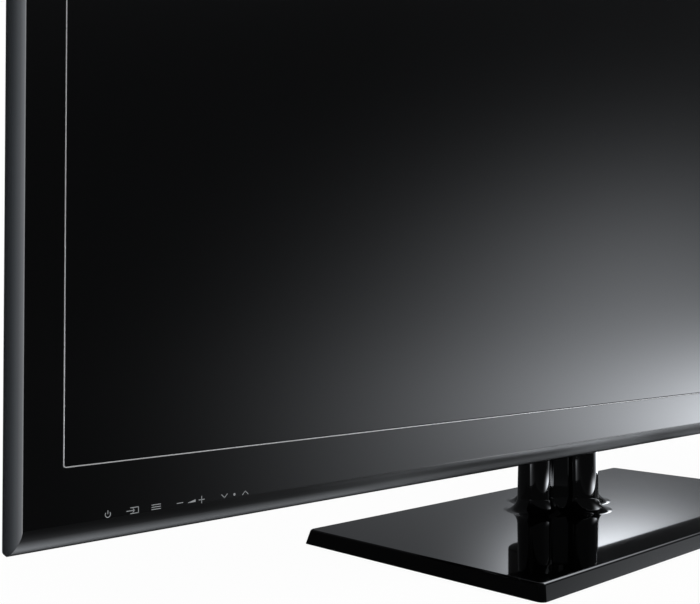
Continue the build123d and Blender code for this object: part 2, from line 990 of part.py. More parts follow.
def socket_cuts():
    """Openings in the floor of the recess, one round each socket."""
    through = (recess_floor - recess_wall - cut_over, recess_floor + cut_over)
    low = socket_z(socket_row_low)
    high = socket_z(socket_row_high)
    cuts = []
    for places, size in ((hdmi_places, hdmi_size), (usb_places, usb_size),
                         ((network_place,), network_size)):
        for along in places:
            x = socket_x(along)
            half = size[0] / 2 + seat_gap
            tall = size[1] / 2 + seat_gap
            cuts.append(slab((x - half, x + half), through, (low - tall, low + tall)))
    for along in cinch_places:
        cuts.append(rod_back(cinch_outer_r + seat_gap, socket_x(along), through, high))
    cuts.append(rod_back(antenna_outer_r + seat_gap, socket_x(antenna_place), through, high))
    return cuts


# Mains inlet

def inlet_z():
    return underside + recess_low + mains_recess_height / 2


def make_mains_inlet():
    """Moulded appliance inlet with its flange on the floor of its own recess."""
    z = inlet_z()
    x = mains_centre
    end = recess_floor + inlet_flange
    body = slab((x - inlet_width / 2, x + inlet_width / 2), (end - inlet_length - inlet_flange, end),
                (z - inlet_height / 2, z + inlet_height / 2))
    body += slab((x - inlet_flange_width / 2, x + inlet_flange_width / 2), (recess_floor, end),
                 (z - inlet_flange_height / 2, z + inlet_flange_height / 2))
    width, height = inlet_hollow
    floor = end - inlet_hollow_depth
    body -= slab((x - width / 2, x + width / 2), (floor, end + cut_over),
                 (z - height / 2, z + height / 2))
    for along in (-inlet_screw_spread, inlet_screw_spread):
        body -= rod_back(inlet_screw_r + screw_gap, x + along, (recess_floor - cut_over,
                                                                end + cut_over), z)
    return body


def make_inlet_pins():
    """Three flat contact pins, fixed in the inlet's floor."""
    z = inlet_z()
    floor = recess_floor + inlet_flange - inlet_hollow_depth
    width, height = inlet_pin
    pins = []
    for along, up in ((-inlet_pin_spread, -inlet_pin_drop), (0, inlet_pin_drop),
                      (inlet_pin_spread, -inlet_pin_drop)):
        x = mains_centre + along
        pins.append(slab((x - width / 2, x + width / 2), (floor, floor + inlet_pin_length),
                         (z + up - height / 2, z + up + height / 2)))
    return as_group(pins)


def make_inlet_screws():
    z = inlet_z()
    seat = recess_floor + inlet_flange
    screws = []
    for along in (-inlet_screw_spread, inlet_screw_spread):
        x = mains_centre + along
        screws.append(rod_back(inlet_screw_r, x, (seat - inlet_screw_length, seat), z)
                      + rod_back(inlet_screw_head_r, x, (seat, seat + inlet_screw_head), z))
    return as_group(screws)


def inlet_cuts():
    z = inlet_z()
    through = (recess_floor - recess_wall - cut_over, recess_floor + cut_over)
    half = inlet_width / 2 + seat_gap
    tall = inlet_height / 2 + seat_gap
    cuts = [slab((mains_centre - half, mains_centre + half), through, (z - tall, z + tall))]
    for along in (-inlet_screw_spread, inlet_screw_spread):
        cuts.append(rod_back(inlet_screw_r + screw_gap, mains_centre + along, through, z))
    return cuts


# Loudspeakers

def speaker_bores(side):
    """Middles of a box's two drivers, as X."""
    return [side - speaker_spread, side + speaker_spread]


def speaker_box(side):
    low = speaker_bottom
    half = speaker_width / 2
    wall = speaker_wall
    back = speaker_front + speaker_depth
    box = slab((side - half, side + half), (speaker_front, back), (low, low + speaker_height))
    box -= slab((side - half + wall, side + half - wall), (speaker_front + wall, back - wall),
                (low + wall, low + speaker_height - wall))
    middle = at_depth(speaker_middle)
    for x in speaker_bores(side):
        box -= rod_up(speaker_bore_r, x, middle, (low - cut_over, low + wall + cut_over))
    ear_low = low + speaker_height - speaker_ear_thickness
    for sign in (-1, 1):
        edge = side + sign * half
        reach = edge + sign * speaker_ear
        ear = slab((min(edge, reach), max(edge, reach)), (speaker_front, speaker_front
                   + speaker_ear_thickness), (ear_low - speaker_ear, ear_low))
        ear -= rod_back(grommet_r, (edge + reach) / 2, (speaker_front - cut_over, speaker_front
                        + speaker_ear_thickness + cut_over), ear_low - speaker_ear / 2)
        box += ear
    return box


def make_speaker_cones():
    """Paper cones with their magnets, four in all, firing down through the boxes."""
    low = speaker_bottom
    middle = at_depth(speaker_middle)
    cones = []
    for side in (-speaker_centre, speaker_centre):
        for x in speaker_bores(side):
            outer = Pos(x, middle, low + cone_depth / 2) * Cone(cone_rim_r, cone_throat_r, cone_depth)
            inner = Pos(x, middle, low + (cone_depth - cone_wall) / 2 - cone_wall / 2) * Cone(
                cone_rim_r - cone_wall, cone_throat_r - cone_wall, cone_depth - cone_wall)
            magnet = rod_up(magnet_r, x, middle, (low + cone_depth,
                                                  low + cone_depth + magnet_length))
            cones.append(outer - inner + magnet)
    return as_group(cones)


def grommet_points():
    z = speaker_bottom + speaker_height - speaker_ear_thickness - speaker_ear / 2
    reach = speaker_width / 2 + speaker_ear / 2
    return [(side + sign * reach, z) for side in (-speaker_centre, speaker_centre)
            for sign in (-1, 1)]


def make_speaker_grommets():
    """Rubber rings in the ears of the speaker boxes."""
    rings = []
    span = (speaker_front - grommet_overhang, speaker_front + speaker_ear_thickness
            + grommet_overhang)
    for x, z in grommet_points():
        rings.append(rod_back(grommet_r, x, span, z)
                     - rod_back(grommet_bore_r, x, (span[0] - cut_over, span[1] + cut_over), z))
    return as_group(rings)


def make_speaker_brackets():
    """Folded brackets that hang each speaker box from the chassis through its grommets."""
    brackets = []
    front = speaker_front - grommet_overhang
    back = speaker_front + speaker_ear_thickness + grommet_overhang
    for x, z in grommet_points():
        half = speaker_ear / 2
        plate = slab((x - half, x + half), (front - rail_wall, front),
                     (z - half, screen_low + speaker_ear))
        foot = slab((x - half, x + half), (chassis_back, front),
                    (screen_low + chassis_thickness, screen_low + speaker_ear))
        pin = rod_back(grommet_bore_r - shaft_gap, x, (front, back + grommet_overhang), z)
        brackets.append(plate + foot + pin)
    return as_group(brackets)


# Touch keys and the remote receiver

def make_touch_key_board():
    """Board along the lower border, with a soldered lamp behind each key's symbol."""
    low = face_low + seat_gap
    x_span = (min(key_places) - key_board_margin, max(key_places) + key_board_margin)
    front = border_thickness + key_film
    board = slab(x_span, (front, front + board_thickness), (low, low + key_board_height))
    for x in key_places:
        board += rod_back(key_light_r, x, (border_thickness - key_light_bite, front),
                          underside + key_row_height)
    return board


def make_touch_key_film():
    """Clear sensing film pressed to the inside of the border by its board."""
    low = face_low + seat_gap
    x_span = (min(key_places) - key_board_margin, max(key_places) + key_board_margin)
    film = slab(x_span, (border_thickness, border_thickness + key_film),
                (low, low + key_board_height))
    for x in key_places:
        film -= rod_back(key_light_r + window_gap, x, (border_thickness - cut_over,
                         border_thickness + key_film + cut_over), underside + key_row_height)
    return film


def make_receiver_board():
    """Small board whose domed infrared eye stands behind the window."""
    width, height = receiver_size
    front = border_thickness + receiver_eye_length
    z = underside + receiver_height
    board = slab((receiver_place - width / 2, receiver_place + width / 2),
                 (front, front + board_thickness), (z - height / 2, z + height / 2))
    shoulder = border_thickness + receiver_eye_r
    board += rod_back(receiver_eye_r, receiver_place, (shoulder, front), z)
    return board + Pos(receiver_place, at_depth(shoulder), z) * Sphere(receiver_eye_r)


# Wiring

def ribbon(x_span, z_span, outward):
    """A flat cable from the panel's rear ledge back to a board: an upright leg and a flat one."""
    ledge = (panel_front + panel_back) / 2
    if outward == "side":
        edge, inner = x_span
        low, high = min(edge, inner), max(edge, inner)
        thin = ribbon_thickness if edge < inner else -ribbon_thickness
        leg = slab((min(edge, edge + thin), max(edge, edge + thin)),
                   (ledge, board_back + ribbon_thickness), z_span)
        return leg + slab((low, high), (board_back, board_back + ribbon_thickness), z_span)
    low, high = z_span
    leg = slab(x_span, (ledge, board_back + ribbon_thickness), (low, low + ribbon_thickness))
    return leg + slab(x_span, (board_back, board_back + ribbon_thickness), (low, high))


def make_panel_ribbons():
    """Flat cables at both sides and at the foot of the panel."""
    edge = half_screen + (panel_margin + seal_margin) / 2 - ribbon_thickness
    strips = []
    for place in (row_driver_place, sustain_place):
        (left, right), (low, high) = board_spans(place)
        step = (high - low) / ribbon_count
        for index in range(ribbon_count):
            middle = low + step * (index + 1 / 2)
            z_span = (middle - ribbon_width / 2, middle + ribbon_width / 2)
            if place[0] < 0:
                strips.append(ribbon((-edge, left + ribbon_overlap / 2), z_span, "side"))
            else:
                strips.append(ribbon((edge, right - ribbon_overlap / 2), z_span, "side"))
    foot = screen_low - (panel_margin + seal_margin) / 2
    for place in (column_left_place, column_right_place):
        (left, right), (low, high) = board_spans(place)
        step = (right - left) / 2
        for index in range(2):
            middle = left + step * (index + 1 / 2)
            x_span = (middle - ribbon_width / 2, middle + ribbon_width / 2)
            strips.append(ribbon(x_span, (foot, low + ribbon_overlap), "foot"))
    return as_group(strips)


def lead_route(start, bends, end):
    """Tube for a lead, with its points given as X and height above the underside."""
    depth = board_back + plug_size[1] / 2
    points = [Vector(x, at_depth(depth), underside + z) for x, z in (start, *bends, end)]
    path = FilletPolyline(*points, radius=lead_bend)
    section = Plane(origin=path @ 0, z_dir=path % 0) * Circle(lead_r)
    return sweep(section, path=path)


def lead_ends():
    """Both ends of each lead, as X and height above the underside."""
    power_left = power_place[0]
    power_right = power_left + power_place[2]
    driver_right = row_driver_place[0] + row_driver_place[2]
    main_right = main_place[0] + main_place[2]
    return [
        ((power_left, driver_lead_start), (driver_right, driver_lead_end)),
        ((power_right, driver_lead_start), (sustain_place[0], driver_lead_end)),
        ((power_left, main_lead_start), (main_right, main_lead_end)),
    ]


def plug_at(x, z, side):
    width, depth, height = plug_size
    span = (x, x + width) if side > 0 else (x - width, x)
    return slab(span, (board_back, board_back + depth),
                (underside + z - height / 2, underside + z + height / 2))


def make_power_leads():
    """Three leads from the power board, each between two push-on plugs."""
    leads = []
    for (x0, z0), (x1, z1) in lead_ends():
        toward = 1 if x1 > x0 else -1
        start = plug_at(x0, z0, -toward)
        end = plug_at(x1, z1, toward)
        bend = (x1 - x0) * lead_bend_share
        tube = lead_route((x0, z0), [(x0 + bend, z0), (x1 - bend, z1)], (x1, z1))
        leads.append(start + tube + end)
    return as_group(leads)


# Neck and swivel

def neck_place(z):
    return Pos(0, neck_offset, z)


def lobe_centres():
    return [(-lobe_side, 0), (lobe_side, 0), (0, -lobe_front), (0, lobe_front)]


def neck_lobe():
    """One lobe, turned from its side profile: a tapered column with a flared foot."""
    height = neck_high - neck_low
    foot = lobe_r + neck_draft
    tip = foot + flare_r
    arc_centre = (tip, flare_lip + flare_r)
    side = Polyline((0, 0), (tip, 0), (tip, flare_lip))
    flare = CenterArc(arc_centre, flare_r, 270, -90)
    rest = Polyline((foot, flare_lip + flare_r), (lobe_r, height), (0, height), (0, 0))
    profile = make_face(side + flare + rest)
    return revolve(Plane.XZ * profile, axis=Axis.Z)


def web_prism(swell, low, high):
    """Diamond between the four lobes, swelled outwards from their middles."""
    side = lobe_side + swell
    front = lobe_front + swell
    outline = Polygon((side, 0), (0, front), (-side, 0), (0, -front), align=None)
    return Pos(0, 0, low) * extrude(outline, high - low)


def make_neck_cover():
    """Gloss shell of the neck: four lobes, a web between them and a hollow for the post."""
    height = neck_high - neck_low
    root = math.sqrt(2)
    lobe = neck_lobe()
    body = web_prism(web_r * root, 0, height)
    for x, y in lobe_centres():
        body += Pos(x, y, 0) * lobe
    hollow = web_prism((web_r - neck_wall) * root, -cut_over, height + cut_over)
    for x, y in lobe_centres():
        hollow += Pos(x, y, height / 2) * Cylinder(lobe_r - neck_wall, height + cut_over * 2)
    hollow += Pos(0, 0, height / 2) * Cylinder(post_flange_r + seat_gap, height + cut_over * 2)
    foot_half = bracket_foot_width / 2 + seat_gap
    plate_half = bracket_width / 2 + seat_gap
    notch_span = (post_high - seat_gap, neck_high + cut_over)
    notch = slab((-foot_half, foot_half), (bracket_foot_front - seat_gap, bracket_back), notch_span)
    notch += slab((-plate_half, plate_half), (bracket_front - seat_gap, bracket_back + lobe_r * 2),
                  notch_span)
    return neck_place(neck_low) * (body - hollow) - notch


def make_neck_post():
    """Cast post: ribbed column on a round flange, with a turned spigot below."""
    post = rod_up(post_r, 0, 0, (flange_high, post_high))
    half = post_rib / 2
    reach_x = lobe_side + lobe_r - neck_wall - post_rib_gap
    reach_y = lobe_front + lobe_r - neck_wall - post_rib_gap
    rib_low = neck_low + flare_r
    span = post_high - rib_low
    middle = (post_high + rib_low) / 2
    post += Pos(0, 0, middle) * Box(reach_x * 2, half * 2, span)
    post += Pos(0, 0, middle) * Box(half * 2, reach_y * 2, span)
    post += rod_up(post_flange_r, 0, 0, (flange_low, flange_high))
    post += rod_up(spigot_r, 0, 0, (spigot_end, flange_low))
    groove_high = plate_bottom - thrust_gap - washer_thickness
    post -= (rod_up(spigot_r + cut_over, 0, 0, (groove_high - clip_thickness, groove_high))
             - rod_up(spigot_r - clip_groove, 0, 0, (groove_high - clip_thickness, groove_high)))
    for x, y in post_bolt_points():
        post -= rod_up(post_bolt_r, x, y, (post_high + bracket_foot_thickness - post_bolt_length,
                                           post_high + cut_over))
    post -= rod_up(stop_pin_r, 0, -stop_place, (flange_low - cut_over, flange_high + cut_over))
    return Pos(0, neck_offset, 0) * post


def post_bolt_points():
    spread = post_bolt_spread
    return [(-spread, -spread), (spread, -spread), (-spread, spread), (spread, spread)]


def make_post_bolts():
    """Four countersunk bolts that pull the bracket's foot down on the post."""
    bolts = []
    top = post_high + bracket_foot_thickness
    for x, y in post_bolt_points():
        shank = rod_up(post_bolt_r, x, y, (top - post_bolt_length, top))
        cone_height = post_bolt_head_r - post_bolt_r
        head = Pos(x, y, top - cone_height / 2) * Cone(post_bolt_r, post_bolt_head_r, cone_height)
        bolts.append(Pos(0, neck_offset, 0) * (shank + head))
    return as_group(bolts)


def make_stop_pin():
    """Pin in the post's flange, which runs in the curved slot of the plate below."""
    top = flange_high
    return rod_up(stop_pin_r, 0, neck_offset - stop_place, (top - stop_pin_length, top))


def slot_cut(z_span):
    """Curved slot that lets the stop pin swing to both ends of the swivel's travel."""
    slack = math.degrees(stop_slack / stop_place)
    reach = swivel_angle + slack
    half = stop_pin_r + stop_slack
    height = z_span[1] - z_span[0]
    middle = (z_span[0] + z_span[1]) / 2
    ring = (Pos(0, 0, middle) * Cylinder(stop_place + half, height)
            - Pos(0, 0, middle) * Cylinder(stop_place - half, height + cut_over))
    far = stop_place * 2
    left = math.radians(-90 - reach)
    right = math.radians(-90 + reach)
    wedge = Polygon((0, 0), (far * math.cos(left), far * math.sin(left)),
                    (0, -far * 2), (far * math.cos(right), far * math.sin(right)), align=None)
    cut = ring & (Pos(0, 0, z_span[0]) * extrude(wedge, height))
    for angle in (left, right):
        cut += rod_up(half, stop_place * math.cos(angle), stop_place * math.sin(angle), z_span)
    return Pos(0, neck_offset, 0) * cut


def make_wear_ring():
    """Acetal ring between the post's flange and the steel plate."""
    ring = rod_up(ring_outer_r, 0, neck_offset, (plate_top, ring_top))
    ring -= rod_up(spigot_r + shaft_gap, 0, neck_offset, (plate_top - cut_over, ring_top + cut_over))
    return ring - slot_cut((plate_top - cut_over, ring_top + cut_over))


def make_swivel_washer():
    top = plate_bottom - thrust_gap
    low = top - washer_thickness
    return (rod_up(washer_r, 0, neck_offset, (low, top))
            - rod_up(spigot_r + shaft_gap, 0, neck_offset, (low - cut_over, top + cut_over)))


def make_swivel_clip():
    """Spring clip in the spigot's groove, open on one side."""
    top = plate_bottom - thrust_gap - washer_thickness
    low = top - clip_thickness
    ring = rod_up(clip_r, 0, neck_offset, (low, top))
    ring -= rod_up(spigot_r - clip_groove + shaft_gap, 0, neck_offset, (low - cut_over,
                                                                        top + cut_over))
    gap = Pos(0, neck_offset + clip_r, (low + top) / 2) * Box(clip_gap_width, clip_r * 2,
                                                              clip_thickness + cut_over)
    return ring - gap


# Stand bracket, its frame inside the casing and its cover

def make_stand_bracket():
    """Welded steel bracket: a foot on the post, a plate behind the casing and two ribs."""
    half = bracket_width / 2
    foot_half = bracket_foot_width / 2
    foot_top = post_high + bracket_foot_thickness
    body = slab((-half, half), (bracket_front, bracket_back),
                (post_high, underside + bracket_height))
    body += slab((-foot_half, foot_half), (bracket_foot_front, bracket_back),
                 (post_high, foot_top))
    reach = bracket_back + bracket_rib_reach
    for x in (-foot_half + bracket_rib, foot_half - bracket_rib):
        body += slab((x - bracket_rib / 2, x + bracket_rib / 2), (bracket_back, reach),
                     (post_high, underside + bracket_height / 2))
    cone_height = post_bolt_head_r - post_bolt_r
    for x, y in post_bolt_points():
        body -= rod_up(post_bolt_r, x, neck_offset + y, (post_high - cut_over,
                                                         foot_top + cut_over))
        body -= Pos(x, neck_offset + y, foot_top - cone_height / 2) * Cone(
            post_bolt_r, post_bolt_head_r, cone_height)
    for x, z in bracket_screw_points():
        body -= rod_back(bracket_screw_r + screw_gap, x, (bracket_front - cut_over,
                                                          bracket_back + cut_over), z)
    for z in housing_screw_places:
        body -= rod_back(housing_screw_r + screw_gap, 0, (bracket_front - cut_over,
                         bracket_back + cut_over), underside + z)
    return body


def make_bracket_screws():
    screws = []
    for x, z in bracket_screw_points():
        screws.append(rod_back(bracket_screw_r, x, (frame_back - frame_wall, bracket_back), z)
                      + rod_back(bracket_screw_head_r, x, (bracket_back,
                                                           bracket_back + bracket_screw_head), z))
    return as_group(screws)


def make_stand_frame():
    """Folded steel frame inside the casing, between the chassis and the stand's bracket."""
    half = frame_width / 2
    low = underside + frame_low
    high = low + frame_height
    wall = frame_wall
    body = slab((-half, half), (frame_back - wall, frame_back), (low, high))
    for sign in (-1, 1):
        side = sign * (half - wall / 2)
        foot = sign * (half + frame_foot / 2)
        body += slab((side - wall / 2, side + wall / 2), (chassis_back, frame_back),
                     (screen_low + chassis_thickness, high))
        body += slab((side - wall / 2, side + wall / 2),
                     (chassis_back + chassis_flange + seat_gap, frame_back), (low, high))
        body += slab((foot - frame_foot / 2, foot + frame_foot / 2),
                     (chassis_back, chassis_back + wall), (screen_low + chassis_thickness, high))
    for x, z in bracket_screw_points():
        body -= rod_back(bracket_screw_r, x, (frame_back - wall - cut_over,
                                              frame_back + cut_over), z)
    return body


def make_bracket_cover():
    """Plastic housing behind the screen that hides the bracket and the neck's top."""
    half = housing_width / 2
    back = bracket_front + housing_depth
    low = underside - housing_drop
    high = underside + housing_height
    wall = housing_wall
    shell = slab((-half, half), (bracket_front, back), (low, high))
    hollow = slab((-half + wall, half - wall), (bracket_front - cut_over, back - wall),
                  (low + wall, high - wall))
    shell = fillet(shell.edges().filter_by(Axis.Z).sort_by(Axis.Y)[-2:], housing_corner)
    rims = [edge for edge in shell.edges() if edge.center().Y > at_depth(bracket_front) + wall
            and abs(edge.center().Z - (low + high) / 2) > housing_height / 2]
    shell = fillet(rims, housing_round)
    shell -= fillet(hollow.edges().filter_by(Axis.Z).sort_by(Axis.Y)[-2:], housing_corner - wall)
    neck_span = (low - cut_over, neck_high + seat_gap)
    neck = web_prism(web_r * math.sqrt(2), neck_span[0], neck_span[1])
    for x, y in lobe_centres():
        neck += rod_up(lobe_r + neck_draft + seat_gap, x, y, neck_span)
    shell -= Pos(0, neck_offset, 0) * neck
    for z in housing_screw_places:
        height = underside + z
        shell += rod_back(housing_boss_r, 0, (bracket_back, back - wall), height)
        shell -= rod_back(housing_screw_r + screw_gap, 0, (bracket_back - cut_over,
                                                           back + cut_over), height)
    return shell


def make_housing_screws():
    back = bracket_front + housing_depth
    screws = []
    for z in housing_screw_places:
        height = underside + z
        screws.append(rod_back(housing_screw_r, 0, (bracket_front, back), height)
                      + rod_back(housing_screw_head_r, 0, (back, back + housing_screw_head),
                                 height))
    return as_group(screws)


# Base

def make_base_cover():
    """Gloss plate with a turned-down, drafted rim and a round opening for the swivel."""
    outline = RectangleRounded(base_width, base_length, base_corner)
    draft_angle = math.degrees(math.atan(base_draft / base_height))
    shell = Pos(0, 0, base_bottom) * extrude(outline, base_height, taper=draft_angle)
    top_edges = shell.faces().sort_by(Axis.Z)[-1].edges()
    shell = fillet(top_edges, base_edge_round)
    hollow_low = base_bottom - cut_over
    size_x = base_width - (base_wall + base_draft) * 2
    size_y = base_length - (base_wall + base_draft) * 2
    shell -= Pos(0, 0, (hollow_low + plate_top) / 2) * Box(size_x, size_y, plate_top - hollow_low)
    shell -= rod_up(ring_outer_r + seat_gap, 0, neck_offset, (plate_top - cut_over,
                                                              base_top + cut_over))
    for x, y in base_screw_points():
        shell -= rod_up(base_screw_r, x, y, (plate_top - cut_over, plate_top + base_screw_bite))
    return shell


def base_screw_points():
    half_x = base_width / 2
    half_y = base_length / 2
    return [(half_x * across, half_y * along) for across in base_screw_column_shares
            for along in base_screw_row_shares]


def make_base_plate():
    """Steel plate under the cover: the base's weight and the lower half of the swivel."""
    middle = (plate_top + plate_bottom) / 2
    plate = Pos(0, 0, middle) * Box(base_width - plate_inset * 2, base_length - plate_inset * 2,
                                    plate_thickness)
    plate -= rod_up(spigot_r + shaft_gap, 0, neck_offset, (plate_bottom - cut_over,
                                                           plate_top + cut_over))
    plate -= slot_cut((plate_bottom - cut_over, plate_top + cut_over))
    for x, y in base_screw_points():
        plate -= rod_up(base_screw_r + screw_gap, x, y, (plate_bottom - cut_over,
                                                         plate_top + cut_over))
    return plate


def make_base_screws():
    screws = []
    for x, y in base_screw_points():
        screws.append(rod_up(base_screw_r, x, y, (plate_bottom, plate_top + base_screw_bite))
                      + rod_up(base_screw_head_r, x, y, (plate_bottom - base_screw_head,
                                                         plate_bottom)))
    return as_group(screws)


def make_rubber_feet():
    """Soft round feet stuck to the steel plate, which stand the base off the floor."""
    side = base_width / 2 - foot_inset
    end = base_length / 2 - foot_inset
    return as_group([rod_up(foot_r, x, y, (0, plate_bottom))
                     for x in (-side, 0, side) for y in (-end, end)])


def main():
    os.makedirs("parts", exist_ok=True)
    save(make_front_bezel(), "front_bezel")
    save(make_receiver_window(), "receiver_window")
    save(make_screen_trim(), "screen_trim")
    save(make_filter_glass(), "filter_glass")
    save(make_glass_gasket(), "glass_gasket")
    save(make_display_panel(), "display_panel")
    save(make_panel_pad(), "panel_pad")
    save(make_panel_chassis(), "panel_chassis")
    save(make_glass_clamps(), "glass_clamps")
    save(make_rear_cover(), "rear_cover")
    save(make_cover_screws(), "cover_screws")
    save(make_chassis_rails(), "chassis_rails")
    save(make_wall_mount_inserts(), "wall_mount_inserts")
    save(make_board(power_place), "power_board")
    save(make_main_board(), "main_board")
    save(make_board(row_driver_place), "row_driver_board")
    save(make_board(sustain_place), "sustain_board")
    save(make_board(logic_place), "logic_board")
    save(as_group([make_board(column_left_place), make_board(column_right_place)]),
         "column_boards")
    save(make_standoffs(), "board_standoffs")
    save(make_board_screws(), "board_screws")
    save(make_power_transformers(), "power_transformers")
    save(make_power_capacitors(), "power_capacitors")
    save(make_power_heatsinks(), "power_heatsinks")
    save(make_driver_heatsinks(), "driver_heatsinks")
    save(make_processor_sink(), "processor_heatsink")
    save(make_picture_sockets(), "picture_sockets")
    save(make_memory_sockets(), "memory_sockets")
    save(make_network_socket(), "network_socket")
    save(make_sound_sockets(), "sound_sockets")
    save(make_antenna_socket(), "antenna_socket")
    save(make_mains_inlet(), "mains_inlet")
    save(make_inlet_pins(), "mains_inlet_pins")
    save(make_inlet_screws(), "mains_inlet_screws")
    save(speaker_box(-speaker_centre), "speaker_box_left")
    save(speaker_box(speaker_centre), "speaker_box_right")
    save(make_speaker_cones(), "speaker_cones")
    save(make_speaker_grommets(), "speaker_grommets")
    save(make_speaker_brackets(), "speaker_brackets")
    save(make_touch_key_board(), "touch_key_board")
    save(make_touch_key_film(), "touch_key_film")
    save(make_receiver_board(), "receiver_board")
    save(make_panel_ribbons(), "panel_ribbons")
    save(make_power_leads(), "power_leads")
    save(make_neck_cover(), "neck_cover")
    save(make_neck_post(), "neck_post")
    save(make_post_bolts(), "post_bolts")
    save(make_stop_pin(), "swivel_stop_pin")
    save(make_wear_ring(), "swivel_wear_ring")
    save(make_swivel_washer(), "swivel_washer")
    save(make_swivel_clip(), "swivel_clip")
    save(make_stand_bracket(), "stand_bracket")
    save(make_bracket_screws(), "stand_bracket_screws")
    save(make_stand_frame(), "stand_frame")
    save(make_bracket_cover(), "bracket_cover")
    save(make_housing_screws(), "bracket_cover_screws")
    save(make_base_cover(), "base_cover")
    save(make_base_plate(), "base_plate")
    save(make_base_screws(), "base_screws")
    save(make_rubber_feet(), "rubber_feet")


main()
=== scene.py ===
import json
import math

import bmesh
import bpy
from mathutils import Euler, Matrix, Vector


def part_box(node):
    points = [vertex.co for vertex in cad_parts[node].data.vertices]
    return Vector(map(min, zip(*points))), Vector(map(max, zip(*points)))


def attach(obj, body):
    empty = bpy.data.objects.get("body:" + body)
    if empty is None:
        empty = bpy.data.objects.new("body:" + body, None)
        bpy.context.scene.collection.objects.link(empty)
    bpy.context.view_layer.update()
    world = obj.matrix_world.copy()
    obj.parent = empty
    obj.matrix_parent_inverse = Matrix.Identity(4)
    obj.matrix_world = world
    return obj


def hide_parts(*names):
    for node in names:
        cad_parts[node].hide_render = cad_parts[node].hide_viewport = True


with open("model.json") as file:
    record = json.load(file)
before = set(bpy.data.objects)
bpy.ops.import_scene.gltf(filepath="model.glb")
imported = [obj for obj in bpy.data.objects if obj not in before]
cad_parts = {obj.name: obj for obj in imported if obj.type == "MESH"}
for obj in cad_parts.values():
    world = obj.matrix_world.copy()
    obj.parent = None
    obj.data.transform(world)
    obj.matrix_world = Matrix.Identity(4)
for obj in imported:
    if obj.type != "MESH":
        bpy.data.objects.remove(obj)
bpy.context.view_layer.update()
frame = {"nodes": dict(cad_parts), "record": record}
scene = bpy.context.scene

# Camera
# A close view from the left, a little above the stand, with a mildly long lens. It was fitted to
# the edges of the screen, the body and the base.
camera_place = (-0.7043, -0.4424, 0.1719)
camera_yaw = 45.469
camera_pitch = 0.448
camera_roll = 0.253
camera_lens = 51.65
lens = bpy.data.cameras.new("camera")
lens.lens = camera_lens
lens.sensor_width = 36.0
lens.clip_start = 0.01
camera = bpy.data.objects.new("camera", lens)
turn = Euler((math.radians(90 + camera_pitch), 0, math.radians(camera_yaw - 90)), "XYZ")
camera.matrix_world = (Matrix.Translation(camera_place) @ turn.to_matrix().to_4x4()
                       @ Matrix.Rotation(math.radians(camera_roll), 4, "Z"))
scene.collection.objects.link(camera)
scene.camera = camera
scene.view_settings.view_transform = "Standard"


# Studio
# A plain white backdrop and soft white light. Gloss mirrors a dim, cool studio instead, with long
# soft lights low at the right, behind and overhead.
class Field:
    """A socket in one node tree. Arithmetic on it adds Math nodes."""

    def __init__(self, tree, socket=None):
        self.tree = tree
        self.socket = socket

    def node(self, kind, inputs=None, out=0, **settings):
        made = self.tree.nodes.new("ShaderNode" + kind)
        stops = settings.pop("stops", None)
        for name, value in settings.items():
            setattr(made, name, value)
        if stops:
            while len(made.color_ramp.elements) < len(stops):
                made.color_ramp.elements.new(1.0)
            for element, (place, colour) in zip(made.color_ramp.elements, stops):
                element.position = place
                element.color = (*colour, 1.0)
        for name, value in (inputs or {}).items():
            if isinstance(value, Field):
                self.tree.links.new(value.socket, made.inputs[name])
            else:
                made.inputs[name].default_value = value
        return Field(self.tree, made.outputs[out] if made.outputs else None)

    def math(self, operation, *values):
        return self.node("Math", dict(enumerate(values)), operation=operation)

    def __add__(self, other):
        return self.math("ADD", self, other)

    def __radd__(self, other):
        return self.math("ADD", other, self)

    def __sub__(self, other):
        return self.math("SUBTRACT", self, other)

    def __rsub__(self, other):
        return self.math("SUBTRACT", other, self)

    def __mul__(self, other):
        return self.math("MULTIPLY", self, other)

    def __truediv__(self, other):
        return self.math("DIVIDE", self, other)

    def exp(self):
        return self.math("EXPONENT", self)

    def ramp(self, *stops):
        """The colour that this value picks from a row of stops."""
        return self.node("ValToRGB", {0: self}, stops=stops)

    def principled(self, inputs):
        """Ends the tree with one principled surface."""
        self.node("OutputMaterial", {"Surface": self.node("BsdfPrincipled", inputs)})


def grey(value):
    """A colour without a hue."""
    return (value, value, value)


world = bpy.data.worlds.new("studio")
scene.world = world
world.use_nodes = True
world.node_tree.nodes.clear()
room = Field(world.node_tree)
plain_level = 0.8
dim_level = 0.026
low_right = ((-7, -6.8), 8.0, 17, 4)
right = ((-30, -1.3), 0.58, 9.3, 7.8)
far_right = ((-40, -9), 0.39, 10, 10.8)
behind_low = ((30, 15.3), 3.7, 4.5, 3)
behind = ((33, 2), 0.12, 17, 17)
overhead = ((-6, 42), 3.5, 22, 9)
mirror_tint = (0.905, 0.943, 1.0)
mirror_share = 1.06


def soft_light(towards, strength, spread_across, spread_up):
    """A soft patch in the mirrored room. Its direction is a yaw and a lift, in degrees."""
    yaw, lift = (math.radians(angle) for angle in towards)
    ahead = Vector((math.cos(yaw) * math.cos(lift), math.sin(yaw) * math.cos(lift),
                    math.sin(lift)))
    across = Vector((-math.sin(yaw), math.cos(yaw), 0))
    up = ahead.cross(across)
    way = room.node("TexCoord", out="Generated")
    side, rise, front = (room.node("VectorMath", {0: way, 1: tuple(axis)}, out="Value",
                                   operation="DOT_PRODUCT") for axis in (across, up, ahead))
    side = side / math.sin(math.radians(spread_across))
    rise = rise / math.sin(math.radians(spread_up))
    patch = (0 - side * side - rise * rise).exp()
    facing = room.math("GREATER_THAN", front, 0.0)
    return patch * facing * strength


